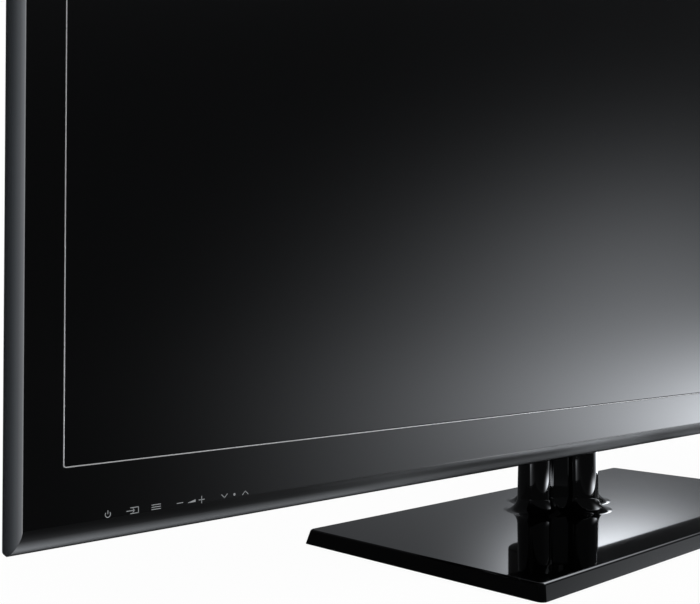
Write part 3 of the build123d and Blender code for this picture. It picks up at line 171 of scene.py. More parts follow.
mirrored = dim_level
for patch in (low_right, right, far_right, behind_low, behind, overhead):
    mirrored = mirrored + soft_light(*patch)
rays = room.node("LightPath", out="Is Camera Ray")
glossy = room.node("LightPath", out="Is Glossy Ray")
through = room.node("LightPath", out="Is Transmission Ray")
seen = room.math("MINIMUM", rays + through, 1.0)
level = seen + (1 - seen) * (glossy * mirrored * mirror_share + (1 - glossy) * plain_level)
tint = (1 - glossy).ramp((0.0, mirror_tint), (1.0, grey(1.0)))
light = room.node("Background", {"Color": tint, "Strength": level})
room.node("OutputWorld", {"Surface": light})

# Floor
# White paper that runs out of sight and keeps a faint shadow. Gloss sees the studio through it,
# and on it only a bright strip along the set's foot and two pools of light in front of it. A pool
# is its middle, x and y, its reach, x and y, and its strength.
floor_size = 40.0
shadow_share = 0.035
paper_white = 0.9
strip_edge = 0.0013
strip_blur = 0.0062
strip_reach = 0.0435
strip_level = 0.58
strip_end = 2.6
strip_end_x = -0.5
strip_end_reach = 0.064
strip_end_blur = 0.003
strip_past_end = -0.01
neck_pool = (0.115, -0.175, 0.065, 0.06, 7.5)
border_pool = (0.30, -0.13, 0.16, 0.05, 1.0)
fade_limit = 0.5
cut_limit = 40.0


def new_material(name):
    """An empty node material, and the field that its nodes are written with."""
    material = bpy.data.materials.new(name)
    material.use_nodes = True
    material.node_tree.nodes.clear()
    return material, Field(material.node_tree)


bm = bmesh.new()
bmesh.ops.create_grid(bm, x_segments=1, y_segments=1, size=floor_size / 2)
mesh = bpy.data.meshes.new("floor")
bm.to_mesh(mesh)
bm.free()
floor = bpy.data.objects.new("floor", mesh)
scene.collection.objects.link(floor)
paper, sheet = new_material("white_paper")
place = sheet.node("TexCoord", out="Object")
where_x = sheet.node("SeparateXYZ", {0: place}, out=0)
where_y = sheet.node("SeparateXYZ", {0: place}, out=1)
from_edge = where_y - strip_edge
from_end = where_x - strip_end_x
painted_light_along = (from_end / -strip_end_reach).exp() / (1 + (from_end / -strip_end_blur).exp())
fade = sheet.math("MINIMUM", from_edge / strip_reach, fade_limit).exp()
# The strip stops in a painted shadow under the set's foot.
cut = sheet.math("MINIMUM", from_edge / strip_blur, cut_limit).exp()
strip = (strip_level + painted_light_along * strip_end) * fade / (1 + cut)
strip = strip * sheet.math("GREATER_THAN", from_end, strip_past_end)
for middle_x, middle_y, reach_x, reach_y, strength in (neck_pool, border_pool):
    off_x = (where_x - middle_x) / reach_x
    off_y = (where_y - middle_y) / reach_y
    strip = strip + (0 - off_x * off_x - off_y * off_y).exp() * strength
camera_ray = sheet.node("LightPath", out="Is Camera Ray")
glossy_ray = sheet.node("LightPath", out="Is Glossy Ray")
through_ray = sheet.node("LightPath", out="Is Transmission Ray")
lit = sheet.node("BsdfDiffuse", {"Color": (*grey(paper_white), 1)})
white = sheet.node("Emission", {"Color": (1, 1, 1, 1), "Strength": 1.0})
pools = sheet.node("Emission", {"Color": (*mirror_tint, 1), "Strength": strip * mirror_share})
open_floor = sheet.node("BsdfTransparent", {"Color": (1, 1, 1, 1)})
mirror_floor = sheet.node("AddShader", {0: pools, 1: open_floor})
shown = sheet.math("MINIMUM", camera_ray + through_ray, 1.0) * (1 - shadow_share)
surface = sheet.node("MixShader", {0: shown, 1: lit, 2: white})
surface = sheet.node("MixShader", {0: glossy_ray, 1: surface, 2: mirror_floor})
sheet.node("OutputMaterial", {"Surface": surface})
mesh.materials.append(paper)

# Lamps
# One large soft lamp above and in front of the set. The gloss doesn't mirror it, since the studio
# has lights of its own for that.
key_power = 22.0
key_width = 2.4
key_length = 1.6
key_place = (-0.9, -1.6, 2.2)
key_aim = Vector((0, 0, 0.3))
key = bpy.data.lights.new("key", "AREA")
key.energy = key_power
key.shape = "RECTANGLE"
key.size = key_width
key.size_y = key_length
lamp = bpy.data.objects.new("key", key)
lamp.location = key_place
lamp.rotation_euler = (key_aim - lamp.location).to_track_quat("-Z", "Y").to_euler()
lamp.visible_glossy = False
scene.collection.objects.link(lamp)

# Front border
# One moulding of piano black plastic all round the screen. Its flat face turns back in a crisp
# edge into a rounded band whose colour is a painted sheen, lighter near the face. Its satin lower
# edge curves under the set, with a painted highlight line and glow. The rear cover screws to it.
lip_blend = 0.07
lip_roughness = 0.3
# The lip's colours run from black to the pale tone of its painted highlight line and glow.
lip_dark = grey(0.0004)
lip_painted_light = (0.380, 0.400, 0.425)
least_upward = 0.6
edge_drift = 0.06


def gloss_black(name, bare_sides=False, lip=None):
    """Moulded plastic polished to a black mirror, with a trace of dust and smears.

    With bare_sides only level faces carry the coat. A lip is the height where the mirror ends and
    the depth of the satin curve below it, whose colour carries a painted highlight line and glow.
    """
    material, skin = new_material(name)
    place = skin.node("TexCoord", out="Object")
    dust = skin.node("TexNoise", {"Vector": place, "Scale": 900.0, "Detail": 2.0}, out=0)
    smear = skin.node("TexNoise", {"Vector": place, "Scale": 9.0, "Detail": 3.0}, out=0)
    tone = smear.ramp((0.3, grey(0.0002)), (0.7, (0.0005, 0.0005, 0.0006)))
    inputs = {"Base Color": tone, "Roughness": 0.04 + smear * 0.03 + dust * 0.01,
              "IOR": 1.5, "Coat Weight": 1.0, "Coat IOR": 1.6, "Coat Roughness": 0.02}
    if bare_sides:
        facing = skin.node("SeparateXYZ", {0: skin.node("TexCoord", out="Normal")}, out=2)
        inputs["Coat Weight"] = skin.math("GREATER_THAN", facing, least_upward)
    if lip:
        start, depth = lip
        share = (start - skin.node("SeparateXYZ", {0: place}, out=2)) / depth
        soft = share.ramp((0.0, grey(0.0)), (lip_blend, grey(1.0)))
        inputs["Roughness"] = inputs["Roughness"] + soft * lip_roughness
        inputs["Coat Weight"] = 1 - soft
        # Painted highlight: a pale line on the lip's lower turn, and painted glow towards its
        # middle.
        painted_highlight_line = share.ramp((0.4, grey(0.0)), (0.7, grey(0.12)), (0.8, grey(0.08)),
                          (0.88, grey(0.0)))
        body = share.ramp((0.0, grey(0.0)), (0.15, grey(1.0)), (0.76, grey(1.0)),
                          (0.88, grey(0.0)))
        aside = skin.math("ABSOLUTE", skin.node("SeparateXYZ", {0: place}, out=0))
        painted_light_along = aside.ramp((0.03, grey(0.15)), (0.08, grey(0.05)), (0.15, grey(0.03)),
                           (0.25, grey(0.05)), (0.33, grey(0.01)), (0.4, grey(0.0)))
        inputs["Base Color"] = (painted_highlight_line + body * painted_light_along).ramp((0.0, lip_dark), (0.4, lip_painted_light))
    skin.principled(inputs)
    return material


def place_piece(name, bm, material, body, node, sharp=40.0):
    """Turns a finished bmesh into a piece that rides on its body and stands for its node."""
    mesh = bpy.data.meshes.new(name)
    bm.to_mesh(mesh)
    bm.free()
    mesh.shade_smooth()
    mesh.set_sharp_from_angle(angle=math.radians(sharp))
    piece = bpy.data.objects.new(name, mesh)
    scene.collection.objects.link(piece)
    mesh.materials.append(material)
    even = piece.modifiers.new("even", "WEIGHTED_NORMAL")
    even.keep_sharp = True
    even.weight = 100
    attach(piece, body)
    if node:
        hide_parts(node)
    return piece


def rounded_outline(bm, segments):
    """A loop with four round corners, and each vertex's side, level and angle round its own."""
    cut = 0.5
    bmesh.ops.create_grid(bm, x_segments=1, y_segments=1, size=2 * cut)
    bmesh.ops.rotate(bm, verts=bm.verts, matrix=Matrix.Rotation(math.radians(90), 3, "X"))
    bmesh.ops.bevel(bm, geom=list(bm.verts), offset=cut, segments=segments, profile=0.5,
                    affect="VERTICES", material=-1)
    found = {}
    for vertex in bm.verts:
        side = 1 if vertex.co.x > 0 else -1
        level = 1 if vertex.co.z > 0 else -1
        found[vertex] = (side, level, math.atan2(abs(vertex.co.z) - cut, abs(vertex.co.x) - cut))
    bmesh.ops.delete(bm, geom=list(bm.faces), context="FACES_ONLY")
    return found


def set_ring(outline, half, bottom, top, radius, y):
    """Sets a loop's vertices on a rounded rectangle at one depth."""
    for vertex, (side, level, angle) in outline.items():
        height = top - radius if level > 0 else bottom + radius
        vertex.co = (side * (half - radius + radius * math.cos(angle)), y,
                     height + level * radius * math.sin(angle))


def next_ring(bm, outline, edges):
    """Extrudes the last loop, and gives the new loop with what its vertices were marked with."""
    made = bmesh.ops.extrude_edge_only(bm, edges=edges)["geom"]
    new = {part for part in made if isinstance(part, bmesh.types.BMVert)}
    edges = [part for part in made if isinstance(part, bmesh.types.BMEdge)
             and all(vertex in new for vertex in part.verts)]
    after = {}
    for vertex, mark in outline.items():
        for edge in vertex.link_edges:
            other = edge.other_vert(vertex)
            if other in new:
                after[other] = mark
    return after, edges


def painted_sheen_edge(name, face_y, depth):
    """Black plastic whose colour is a painted sheen, lighter the nearer it is to the face."""
    material, skin = new_material(name)
    place = skin.node("TexCoord", out="Object")
    inward = skin.node("SeparateXYZ", {0: place}, out=1) - face_y
    haze = skin.node("TexNoise", {"Vector": place, "Scale": 30.0, "Detail": 2.0}, out=0)
    share = inward / depth * (1 - edge_drift / 2 + haze * edge_drift)
    # The colour is a painted sheen: lighter near the face, darker towards the back.
    tone = share.ramp((0.0, (0.300, 0.308, 0.320)), (0.03, (0.150, 0.156, 0.166)),
                      (0.15, (0.078, 0.083, 0.090)), (0.3, (0.043, 0.047, 0.052)),
                      (0.45, (0.024, 0.027, 0.030)), (0.8, (0.009, 0.010, 0.012)),
                      (1.0, (0.001, 0.002, 0.002)))
    skin.principled({"Base Color": tone, "Roughness": 0.06 + haze * 0.03, "IOR": 1.5})
    return material


low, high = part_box("front_bezel")
trim_low, trim_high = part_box("screen_trim")
front_y = low.y
underside = low.z
border_depth = high.y - low.y
edge_flare = 0.0036
edge_crown_depth = 0.009
front_corner = 0.009
back_corner = 0.0025
lower_radius = 0.0135
edge_bevel = 0.0004
edge_bevel_steps = 3
lip_depth = 0.0018
lip_back = lip_depth * 1.5
lip_corner = 0.0016
opening_gap = 0.00015
border_wall = 0.009
corner_steps = 8
depth_steps = 30
half_face = high.x - edge_flare
face_high = high.z - edge_flare
edge_radius = (edge_crown_depth ** 2 + edge_flare ** 2) / (2 * edge_flare)
least_step = 0.0004
level_angle = math.radians(89)
touch = 1e-5


def set_lower_corners(outline, half, bottom, radius):
    """Moves a loop's lower corners onto the band's rounded corners, cut at the lower curve."""
    centre = underside + radius
    reach = math.asin(min(1.0, max(0.0, (centre - bottom) / radius)))
    for vertex, (side, level, angle) in outline.items():
        if level < 0:
            share = angle / math.radians(90)
            swept = reach * share
            vertex.co.x = side * (half - radius + radius * math.cos(swept))
            vertex.co.z = centre - radius * math.sin(swept)
            if bottom > centre:
                vertex.co.z = bottom + least_step * (1 - share)
            elif reach * radius < least_step:
                vertex.co.z = max(vertex.co.z, bottom) + least_step * (1 - share)


def lower_ends(outline):
    """The vertices where a loop's lower corners meet its level lower edge."""
    return [vertex for vertex, (side, level, angle) in outline.items()
            if level < 0 and angle > level_angle]


# Rings run back from the face's edge: the sides flare out while the lower edge curves under.
bm = bmesh.new()
outline = rounded_outline(bm, corner_steps)
face_edges = list(bm.edges)
edges = face_edges
ends = lower_ends(outline)
turned_edges = []
for step in range(depth_steps + 1):
    angle = math.radians(90 * step / depth_steps)
    depth = lower_radius * (1 - math.cos(angle))
    rise = math.sqrt(edge_radius ** 2 - (depth - edge_crown_depth) ** 2)
    reach = edge_flare - edge_radius + rise
    corner = front_corner + (back_corner - front_corner) * min(depth / edge_crown_depth, 1)
    bottom = underside + lower_radius * (1 - math.sin(angle))
    if step:
        before = ends
        outline, edges = next_ring(bm, outline, edges)
        ends = lower_ends(outline)
        if bottom > underside + back_corner / 2:
            turned_edges += [edge for vertex in before for edge in vertex.link_edges
                             if edge.other_vert(vertex) in ends]
    set_ring(outline, half_face + reach, underside, face_high + reach, corner, front_y + depth)
    set_lower_corners(outline, half_face + reach, bottom, corner)

# From there they run to the rear, forward inside the wall, and in to the edge of the screen.
outline, edges = next_ring(bm, outline, edges)
half = high.x - (edge_flare - reach)
set_ring(outline, half, underside, face_high + reach, back_corner, front_y + border_depth)
for depth in (border_depth, lip_back):
    outline, edges = next_ring(bm, outline, edges)
    set_ring(outline, half - border_wall, underside + border_wall, face_high + reach - border_wall,
             back_corner, front_y + depth)
window = (trim_high.x + opening_gap, trim_low.z - opening_gap, trim_high.z + opening_gap)
for depth in (lip_depth, 0):
    outline, edges = next_ring(bm, outline, edges)
    set_ring(outline, *window, lip_corner, front_y + depth)
bmesh.ops.bridge_loops(bm, edges=face_edges + edges)

face_low = underside + lower_radius
crisp = [edge for edge in face_edges
         if max(vertex.co.z for vertex in edge.verts) > face_low + touch]
bmesh.ops.bevel(bm, geom=crisp + turned_edges, offset=edge_bevel, segments=edge_bevel_steps,
                profile=0.5, affect="EDGES", material=-1, clamp_overlap=True)
bmesh.ops.recalc_face_normals(bm, faces=bm.faces)
for face in bm.faces:
    centre = face.calc_center_median()
    outside = abs(centre.x) > half_face + touch or centre.z > face_high + touch
    face.material_index = 1 if outside else 0
border_black_painted_lip = gloss_black("border_black_painted_lip", lip=(face_low, lower_radius))
border = place_piece("front_border", bm, border_black_painted_lip, "television", "front_bezel")
border.data.materials.append(painted_sheen_edge("border_edge_painted_sheen", front_y, border_depth))

# Silver line
# A thin metallic moulding pressed into the edge of the screen opening. It stands level with the
# border's face, and its edges are softly rounded.
trim_width = 0.0006
trim_depth = 0.0016
trim_corner = 0.0014
trim_corner_steps = 4
trim_bevel = 0.0002
trim_bevel_steps = 4
trim_angle = 60.0
facing_front = -0.5
silver_colour = (0.78, 0.78, 0.79)
silver_shade = 0.84

# Satin metallic paint: fine flakes that are part mirror and part plain silver.
silver, skin = new_material("silver_satin")
place = skin.node("TexCoord", out="Object")
flake = skin.node("TexNoise", {"Vector": place, "Scale": 1500.0, "Detail": 2.0}, out=0)
tone = flake.ramp((0.2, tuple(silver_shade * part for part in silver_colour)),
                  (0.8, silver_colour))
skin.principled({"Base Color": tone, "Metallic": 0.55, "Roughness": 0.22 + flake * 0.14})

bm = bmesh.new()
outline = rounded_outline(bm, trim_corner_steps)
first = list(bm.edges)
edges = first
rings = ((0, 0, trim_corner), (0, trim_depth, trim_corner),
         (trim_width, trim_depth, trim_corner - trim_width),
         (trim_width, 0, trim_corner - trim_width))
for index, (inset, depth, radius) in enumerate(rings):
    if index:
        outline, edges = next_ring(bm, outline, edges)
    set_ring(outline, trim_high.x - inset, trim_low.z + inset, trim_high.z - inset, radius,
             trim_low.y + depth)
bmesh.ops.bridge_loops(bm, edges=first + edges)
bmesh.ops.recalc_face_normals(bm, faces=bm.faces)
turned = [edge for edge in bm.edges if edge.calc_face_angle(0.0) > math.radians(trim_angle)]
bmesh.ops.bevel(bm, geom=turned, offset=trim_bevel, segments=trim_bevel_steps, profile=0.5,
                affect="EDGES", material=-1, clamp_overlap=True)
for face in bm.faces:
    face.material_index = 0 if face.normal.y < facing_front else 1
silver_line = place_piece("silver_line", bm, silver, "television", "screen_trim",
                          sharp=trim_angle)
silver_line.data.materials.append(gloss_black("silver_line_side"))


# Front glass
# A sheet of dark coated glass behind the border's lip, as bright as the border. Four bars press it
# to a foam strip from behind.
def finish_nodes(slot, material):
    """Gives one finish to every solid that the record puts in a slot."""
    for row in frame["record"]["subparts"]:
        if row["material_slot"] == slot:
            frame["nodes"][row["node"]].material_slots[0].material = material


finish_nodes("screen_glass", gloss_black("screen_black"))

# Base
# A flat plate with drafted, polished edges, moulded in black and drawn down over its steel plate.
# Its sides are less bright than its top.
low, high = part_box("base_cover")
base_corner = 0.004
base_draft = 0.0026
base_round = 0.0016
base_wall = 0.003
base_corner_segments = 10
base_round_segments = 6
bm = bmesh.new()
bmesh.ops.create_cube(bm, size=1.0)
bmesh.ops.scale(bm, verts=bm.verts, vec=high - low)
bmesh.ops.translate(bm, verts=bm.verts, vec=(high + low) / 2)
top = [vertex for vertex in bm.verts if vertex.co.z > high.z - base_wall]
bmesh.ops.scale(bm, verts=top, vec=(1 - base_draft / high.x, 1 - base_draft / high.y, 1))
upright = [edge for edge in bm.edges if abs(edge.verts[0].co.z - edge.verts[1].co.z) > base_wall]
bmesh.ops.bevel(bm, geom=upright, offset=base_corner, segments=base_corner_segments, profile=0.5,
                affect="EDGES", material=-1)
rim = [edge for edge in bm.edges if all(vertex.co.z > high.z - touch for vertex in edge.verts)]
bmesh.ops.bevel(bm, geom=rim, offset=base_round, segments=base_round_segments, profile=0.5,
                affect="EDGES", material=-1)
under = [face for face in bm.faces if all(vertex.co.z < low.z + touch for vertex in face.verts)]
bmesh.ops.inset_region(bm, faces=under, thickness=base_wall, depth=0)
bmesh.ops.translate(bm, verts=list({vertex for face in under for vertex in face.verts}),
                    vec=(0, 0, high.z - low.z - base_wall))
bmesh.ops.recalc_face_normals(bm, faces=bm.faces)
place_piece("base_shell", bm, gloss_black("base_black", bare_sides=True), "stand", "base_cover")

# Neck
# A gloss shell of four round columns that grow out of the base in one sweep, with webs between.
# It hides the cast post and turns with the set.
neck_low, neck_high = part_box("neck_cover")
lobe_radius = 0.0133
lobe_side = 0.0329
lobe_front = 0.0214
neck_draft = 0.0007
flare_radius = 0.011
flare_drop = 0.00025
web_offset = 0.0045
web = web_offset * math.sqrt(2)
around = 480
flare_steps = 14
lobes = ((lobe_side, 0), (lobe_front, 90), (lobe_side, 180), (lobe_front, 270))


def neck_reach(angle, radius, swell):
    """How far the neck's outline stands from its middle, at one angle round it."""
    best = 1 / (abs(math.cos(angle)) / (lobe_side + web + swell)
                + abs(math.sin(angle)) / (lobe_front + web + swell))
    for out, heading in lobes:
        off = angle - math.radians(heading)
        room_left = radius ** 2 - (out * math.sin(off)) ** 2
        if room_left > 0 and math.cos(off) > 0:
            best = max(best, out * math.cos(off) + math.sqrt(room_left))
    return best


# The sweep of the foot comes first, then one long draft up to the set.
middle = (neck_low + neck_high) / 2
height = neck_high.z - neck_low.z
foot = lobe_radius + neck_draft
sections = []
for step in range(flare_steps + 1):
    angle = math.radians(90 * step / flare_steps)
    sections.append((-flare_drop + flare_radius * (1 - math.cos(angle)),
                     foot + flare_radius * (1 - math.sin(angle))))
sections.append((height, lobe_radius))
bm = bmesh.new()
bmesh.ops.create_circle(bm, segments=around, radius=1.0)
headings = {vertex: math.atan2(vertex.co.y, vertex.co.x) for vertex in bm.verts}
foot_edges = list(bm.edges)
edges = foot_edges
for index, (z, radius) in enumerate(sections):
    if index:
        headings, edges = next_ring(bm, headings, edges)
    for vertex, heading in headings.items():
        out = neck_reach(heading, radius, max(0.0, radius - foot))
        vertex.co = (middle.x + out * math.cos(heading), middle.y + out * math.sin(heading),
                     neck_low.z + z)
for end in (foot_edges, edges):
    bmesh.ops.contextual_create(bm, geom=end)
bmesh.ops.recalc_face_normals(bm, faces=bm.faces)
place_piece("neck_shell", bm, gloss_black("neck_black"), "television", "neck_cover",
            sharp=50.0)

# Families of finish
# Most parts are one material whose tone, gloss and relief drift a little, and some also need their
# own shape shaded more finely. These two functions write that once.
weld = 1e-6
copy_sharp = 35.0


def one_stuff(name, dark, light, gloss, scale, relief=0.0, metallic=0.0, stretch=(1, 1, 1),
              cells=False, **uniform):
    """A material whose colour, roughness and relief follow one pattern."""
    material, skin = new_material(name)
    place = skin.node("Mapping", {"Vector": skin.node("TexCoord", out="Object"), "Scale": stretch})
    if cells:
        pattern = skin.node("TexVoronoi", {"Vector": place, "Scale": scale}, out="Color")
        pattern = skin.node("SeparateXYZ", {0: pattern}, out=0)
    else:
        pattern = skin.node("TexNoise", {"Vector": place, "Scale": scale, "Detail": 3.0}, out=0)
    inputs = {"Base Color": pattern.ramp((0.3, dark), (0.7, light)), "Metallic": metallic,
              "Roughness": gloss[0] + pattern * (gloss[1] - gloss[0]), **uniform}
    if relief:
        inputs["Normal"] = skin.node("Bump", {"Height": pattern, "Distance": relief})
    skin.principled(inputs)
    return material


def smooth_copy(name, node, material, body):
    """A node's own shape as a piece, its loose triangles joined and its curves shaded round."""
    bm = bmesh.new()
    bm.from_mesh(frame["nodes"][node].data)
    bmesh.ops.remove_doubles(bm, verts=bm.verts, dist=weld)
    place_piece(name, bm, material, body, node, copy_sharp)


# Key symbols
# Plain signs in light grey ink over the touch keys, printed on the border's face in thin, even
# strokes: on and off, input, menu, less, sound, more, and two arrows with a dot between.
ink_thickness = 0.00005
ink_sunk = 0.00003
ink_width = 0.00036
ink_overrun = 0.6
arc_steps = 28
sign_level = 0.0749
bm = bmesh.new()
ink_y = front_y + ink_sunk - ink_thickness / 2


def bar(place, start, end, width=ink_width):
    """A straight stroke between two points round a sign's middle."""
    made = bmesh.ops.create_cube(bm, size=1.0)["verts"]
    run = (end[0] - start[0], end[1] - start[1])
    length = math.hypot(*run) + width * ink_overrun
    bmesh.ops.scale(bm, verts=made, vec=(length, ink_thickness, width))
    bmesh.ops.rotate(bm, verts=made, matrix=Matrix.Rotation(-math.atan2(run[1], run[0]), 3, "Y"))
    bmesh.ops.translate(bm, verts=made, vec=(place + (start[0] + end[0]) / 2, ink_y,
                                             sign_level + (start[1] + end[1]) / 2))
    return made


def arc(place, radius, gap):
    """A round stroke that is open at its top by one angle."""
    middle = (place, ink_y, sign_level)
    made = bmesh.ops.create_grid(bm, x_segments=1, y_segments=1, size=0.5)["verts"]
    bmesh.ops.scale(bm, verts=made, vec=(ink_width, ink_thickness, 1))
    bmesh.ops.translate(bm, verts=made, vec=(radius, 0, 0))
    bmesh.ops.rotate(bm, verts=made, matrix=Matrix.Rotation(math.radians(-90 - gap / 2), 3, "Y"))
    bmesh.ops.translate(bm, verts=made, vec=middle)
    section = list({part for vertex in made for part in (vertex, *vertex.link_edges,
                                                         *vertex.link_faces)})
    bmesh.ops.spin(bm, geom=section, cent=middle, axis=(0, 1, 0), dvec=(0, 0, 0),
                   angle=math.radians(gap - 360), steps=arc_steps, use_merge=False,
                   use_duplicate=False)


power, entry, menu, less = -0.4526, -0.4391, -0.4257, -0.4117
sound, more, back, dot, ahead = -0.4045, -0.3984, -0.3839, -0.3774, -0.3701
power_radius, power_gap = 0.0014, 100
power_low, power_high = 0.0002, 0.0018
arc(power, power_radius, power_gap)
bar(power, (0, power_low), (0, power_high))
box_left, box_right, box_half = -0.0012, 0.0033, 0.0014
bar(entry, (box_left, box_half), (box_right, box_half))
bar(entry, (box_right, box_half), (box_right, -box_half))
bar(entry, (box_right, -box_half), (box_left, -box_half))
tail, point, barb = -0.0033, 0.0011, 0.0009
bar(entry, (tail, 0), (point, 0))
bar(entry, (point, 0), (point - barb, barb))
bar(entry, (point, 0), (point - barb, -barb))
menu_half, menu_step = 0.0026, 0.0011
for row in (-menu_step, 0, menu_step):
    bar(menu, (-menu_half, row), (menu_half, row))
sign_half = 0.0018
bar(less, (-sign_half, 0), (sign_half, 0))
bar(more, (-sign_half, 0), (sign_half, 0))
bar(more, (0, -sign_half), (0, sign_half))
wedge_half, wedge_tall, wedge_taper = 0.0019, 0.0013, 0.85
wedge = bar(sound, (-wedge_half, 0), (wedge_half, 0), wedge_tall)
thin_end = [vertex for vertex in wedge if vertex.co.x < sound and vertex.co.z > sign_level]
bmesh.ops.translate(bm, verts=thin_end, vec=(0, 0, -wedge_tall * wedge_taper))
arrow_half, arrow_tall = 0.0019, 0.0009
for arrow, way in ((back, -1), (ahead, 1)):
    bar(arrow, (-arrow_half, -arrow_tall * way), (0, arrow_tall * way))
    bar(arrow, (0, arrow_tall * way), (arrow_half, -arrow_tall * way))
dot_radius, dot_sides = 0.0007, 20
made = bmesh.ops.create_cone(bm, cap_ends=True, segments=dot_sides, radius1=dot_radius,
                             radius2=dot_radius, depth=ink_thickness)["verts"]
bmesh.ops.rotate(bm, verts=made, matrix=Matrix.Rotation(math.radians(90), 3, "X"))
bmesh.ops.translate(bm, verts=made, vec=(dot, ink_y, sign_level))
bmesh.ops.recalc_face_normals(bm, faces=bm.faces)
ink = one_stuff("sign_ink", (0.25, 0.26, 0.27), (0.33, 0.34, 0.35), (0.4, 0.6), 4000.0)
place_piece("key_signs", bm, ink, "television", None)
film = one_stuff("clear_film", (0.55, 0.55, 0.52), (0.62, 0.62, 0.60), (0.1, 0.2), 300.0,
                 **{"Transmission Weight": 0.8})
finish_nodes("film_clear", film)

# Receiver window
# A round lens of dark smoked acrylic in the lower border, clipped in from behind and polished.
# The remote control's receiver stands behind it.
lens_dark = one_stuff("smoked_lens", (0.010, 0.002, 0.002), (0.014, 0.003, 0.003), (0.05, 0.09),
                      200.0, **{"Coat Weight": 0.6, "IOR": 1.49})
smooth_copy("receiver_lens", "receiver_window", lens_dark, "television")

# Rear casing
# The back tray and the cover over the stand's bracket, moulded in black with a fine spark-eroded
# grain that the light catches. Screws round the edge hold the tray to the border.
rear_black = one_stuff("rear_black", (0.010, 0.010, 0.011), (0.017, 0.017, 0.018), (0.42, 0.60),
                       2600.0, relief=0.00003)
smooth_copy("back_tray", "rear_cover", rear_black, "television")
smooth_copy("bracket_shell", "bracket_cover", rear_black, "television")

# Outside screws
# Pan head screws of hardened steel, blackened and waxed, with faint turning rings on the heads.
# They hold the tray, the bracket's cover and the mains inlet.
screw_black = one_stuff("black_screw", (0.016, 0.016, 0.017), (0.032, 0.031, 0.030), (0.28, 0.42),
                        1800.0, relief=0.00001, metallic=0.7)
for name, node in (("tray_screws", "cover_screws"), ("shell_screws", "bracket_cover_screws"),
                   ("inlet_screws", "mains_inlet_screws")):
    smooth_copy(name, node, screw_black, "television")

# Sockets
# Shells of folded, nickel-plated steel and bodies of black plastic, in the back tray's recesses.
# The mains inlet's three blades are brass.
nickel = one_stuff("socket_metal", (0.52, 0.50, 0.46), (0.66, 0.64, 0.60), (0.22, 0.36), 700.0,
                   relief=0.000006, metallic=1.0)
finish_nodes("socket_metal", nickel)
finish_nodes("socket_black", one_stuff("socket_black", (0.014, 0.014, 0.014),
                                       (0.022, 0.022, 0.022), (0.38, 0.5), 1500.0, relief=0.00001))
finish_nodes("contact_brass", one_stuff("contact_brass", (0.60, 0.41, 0.16), (0.74, 0.54, 0.24),
                                        (0.2, 0.34), 500.0, metallic=1.0))
smooth_copy("aerial_shell", "antenna_socket", nickel, "television")

# Steel inside the set
# Galvanised rails, brackets, clamps and screws with their patchwork of zinc crystals. The base's
# plate and the stand's bracket are powder coated black with a slight orange peel.
finish_nodes("zinc_steel", one_stuff("zinc_steel", (0.36, 0.38, 0.40), (0.52, 0.54, 0.56),
                                     (0.32, 0.5), 160.0, metallic=0.9, cells=True))
finish_nodes("black_steel", one_stuff("powder_black", (0.016, 0.016, 0.017), (0.026, 0.026, 0.027),
                                      (0.4, 0.55), 900.0, relief=0.00004))
finish_nodes("bare_steel", one_stuff("bare_steel", (0.44, 0.44, 0.45), (0.58, 0.58, 0.59),
                                     (0.24, 0.4), 900.0, relief=0.000008, metallic=1.0))

# Aluminium
# The panel's back plate and the heatsinks keep the long grain of rolling and extrusion. The post
# is sand cast, the processor's heatsink anodised black.
finish_nodes("plain_aluminium", one_stuff("rolled_aluminium", (0.60, 0.61, 0.62),
                                          (0.72, 0.73, 0.74), (0.28, 0.44), 900.0, relief=0.000008,
                                          metallic=1.0, stretch=(0.04, 1, 1)))
finish_nodes("cast_aluminium", one_stuff("cast_aluminium", (0.40, 0.41, 0.42), (0.56, 0.57, 0.58),
                                         (0.45, 0.62), 700.0, relief=0.00012, metallic=0.9))
finish_nodes("black_anodised", one_stuff("black_anodised", (0.014, 0.014, 0.016),
                                         (0.024, 0.024, 0.027), (0.34, 0.48), 1200.0, metallic=0.5,
                                         stretch=(1, 0.05, 1)))

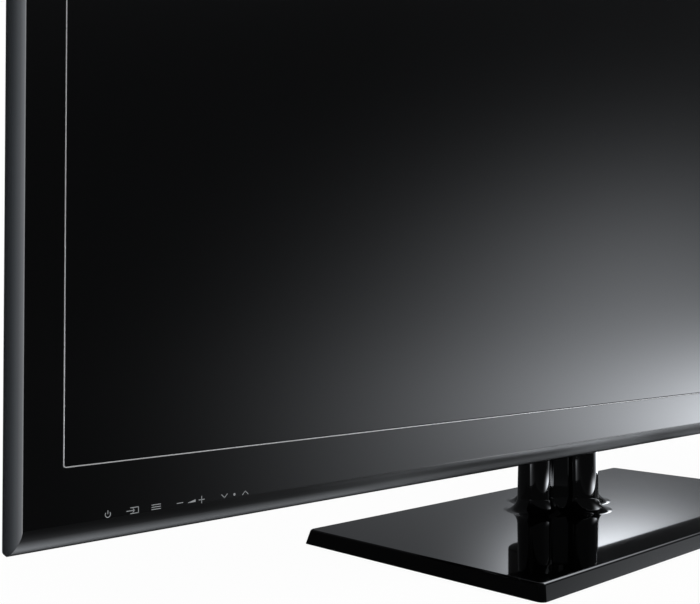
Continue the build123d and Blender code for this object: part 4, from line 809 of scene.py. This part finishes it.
# Boards and their parts
# Glass fibre boards under green lacquer, whose weave and copper show as a faint mottle. Ferrite
# is dull and dark, and the capacitors wear shrunk plastic sleeves.
finish_nodes("board_green", one_stuff("board_green", (0.010, 0.085, 0.035), (0.022, 0.150, 0.060),
                                      (0.22, 0.36), 420.0, relief=0.00001, cells=True))
finish_nodes("ferrite", one_stuff("ferrite", (0.030, 0.028, 0.027), (0.048, 0.045, 0.043),
                                  (0.6, 0.75), 1400.0, relief=0.00003))
finish_nodes("capacitor_sleeve", one_stuff("capacitor_sleeve", (0.012, 0.016, 0.040),
                                           (0.020, 0.026, 0.060), (0.2, 0.32), 260.0))

# Panel
# Two sheets of glass sealed together, dark when off, on the aluminium back plate. Foam cushions
# the front glass all round.
finish_nodes("panel_glass", one_stuff("panel_glass", (0.020, 0.022, 0.024), (0.028, 0.030, 0.033),
                                      (0.06, 0.12), 60.0, **{"Coat Weight": 0.5}))
finish_nodes("foam_black", one_stuff("foam_black", (0.010, 0.010, 0.010), (0.028, 0.028, 0.028),
                                     (0.85, 0.98), 2400.0, relief=0.0002, cells=True))

# Speakers
# Two closed boxes of black plastic with pressed paper cones. They hang on soft rubber grommets
# from steel brackets.
finish_nodes("speaker_plastic", one_stuff("speaker_plastic", (0.014, 0.014, 0.015),
                                          (0.022, 0.022, 0.023), (0.45, 0.6), 1800.0,
                                          relief=0.00002))
finish_nodes("cone_paper", one_stuff("cone_paper", (0.045, 0.043, 0.040), (0.075, 0.072, 0.068),
                                     (0.8, 0.95), 1600.0, relief=0.00008))

# Rubber
# The feet under the base's plate and the grommets that the speakers hang in. Both are moulded,
# matt and a little dusty.
rubber = one_stuff("rubber_black", (0.011, 0.011, 0.011), (0.022, 0.022, 0.021), (0.75, 0.9),
                   1100.0, relief=0.00004)
finish_nodes("rubber_black", rubber)
smooth_copy("feet", "rubber_feet", rubber, "stand")

# Wear ring
# A turned ring of white acetal between the post and the base's plate. The set's weight slides
# on it when the set turns.
finish_nodes("acetal_white", one_stuff("acetal_white", (0.70, 0.70, 0.68), (0.78, 0.78, 0.76),
                                       (0.3, 0.42), 500.0, relief=0.00001))

# Wiring
# Amber ribbons run from the panel's edges back to the boards. The mains leads lie in grey plastic
# sleeves.
finish_nodes("ribbon_amber", one_stuff("ribbon_amber", (0.38, 0.17, 0.03), (0.50, 0.25, 0.06),
                                       (0.18, 0.3), 800.0, stretch=(1, 1, 0.05)))
finish_nodes("lead_sleeve", one_stuff("lead_sleeve", (0.09, 0.09, 0.09), (0.13, 0.13, 0.13),
                                      (0.42, 0.55), 600.0))
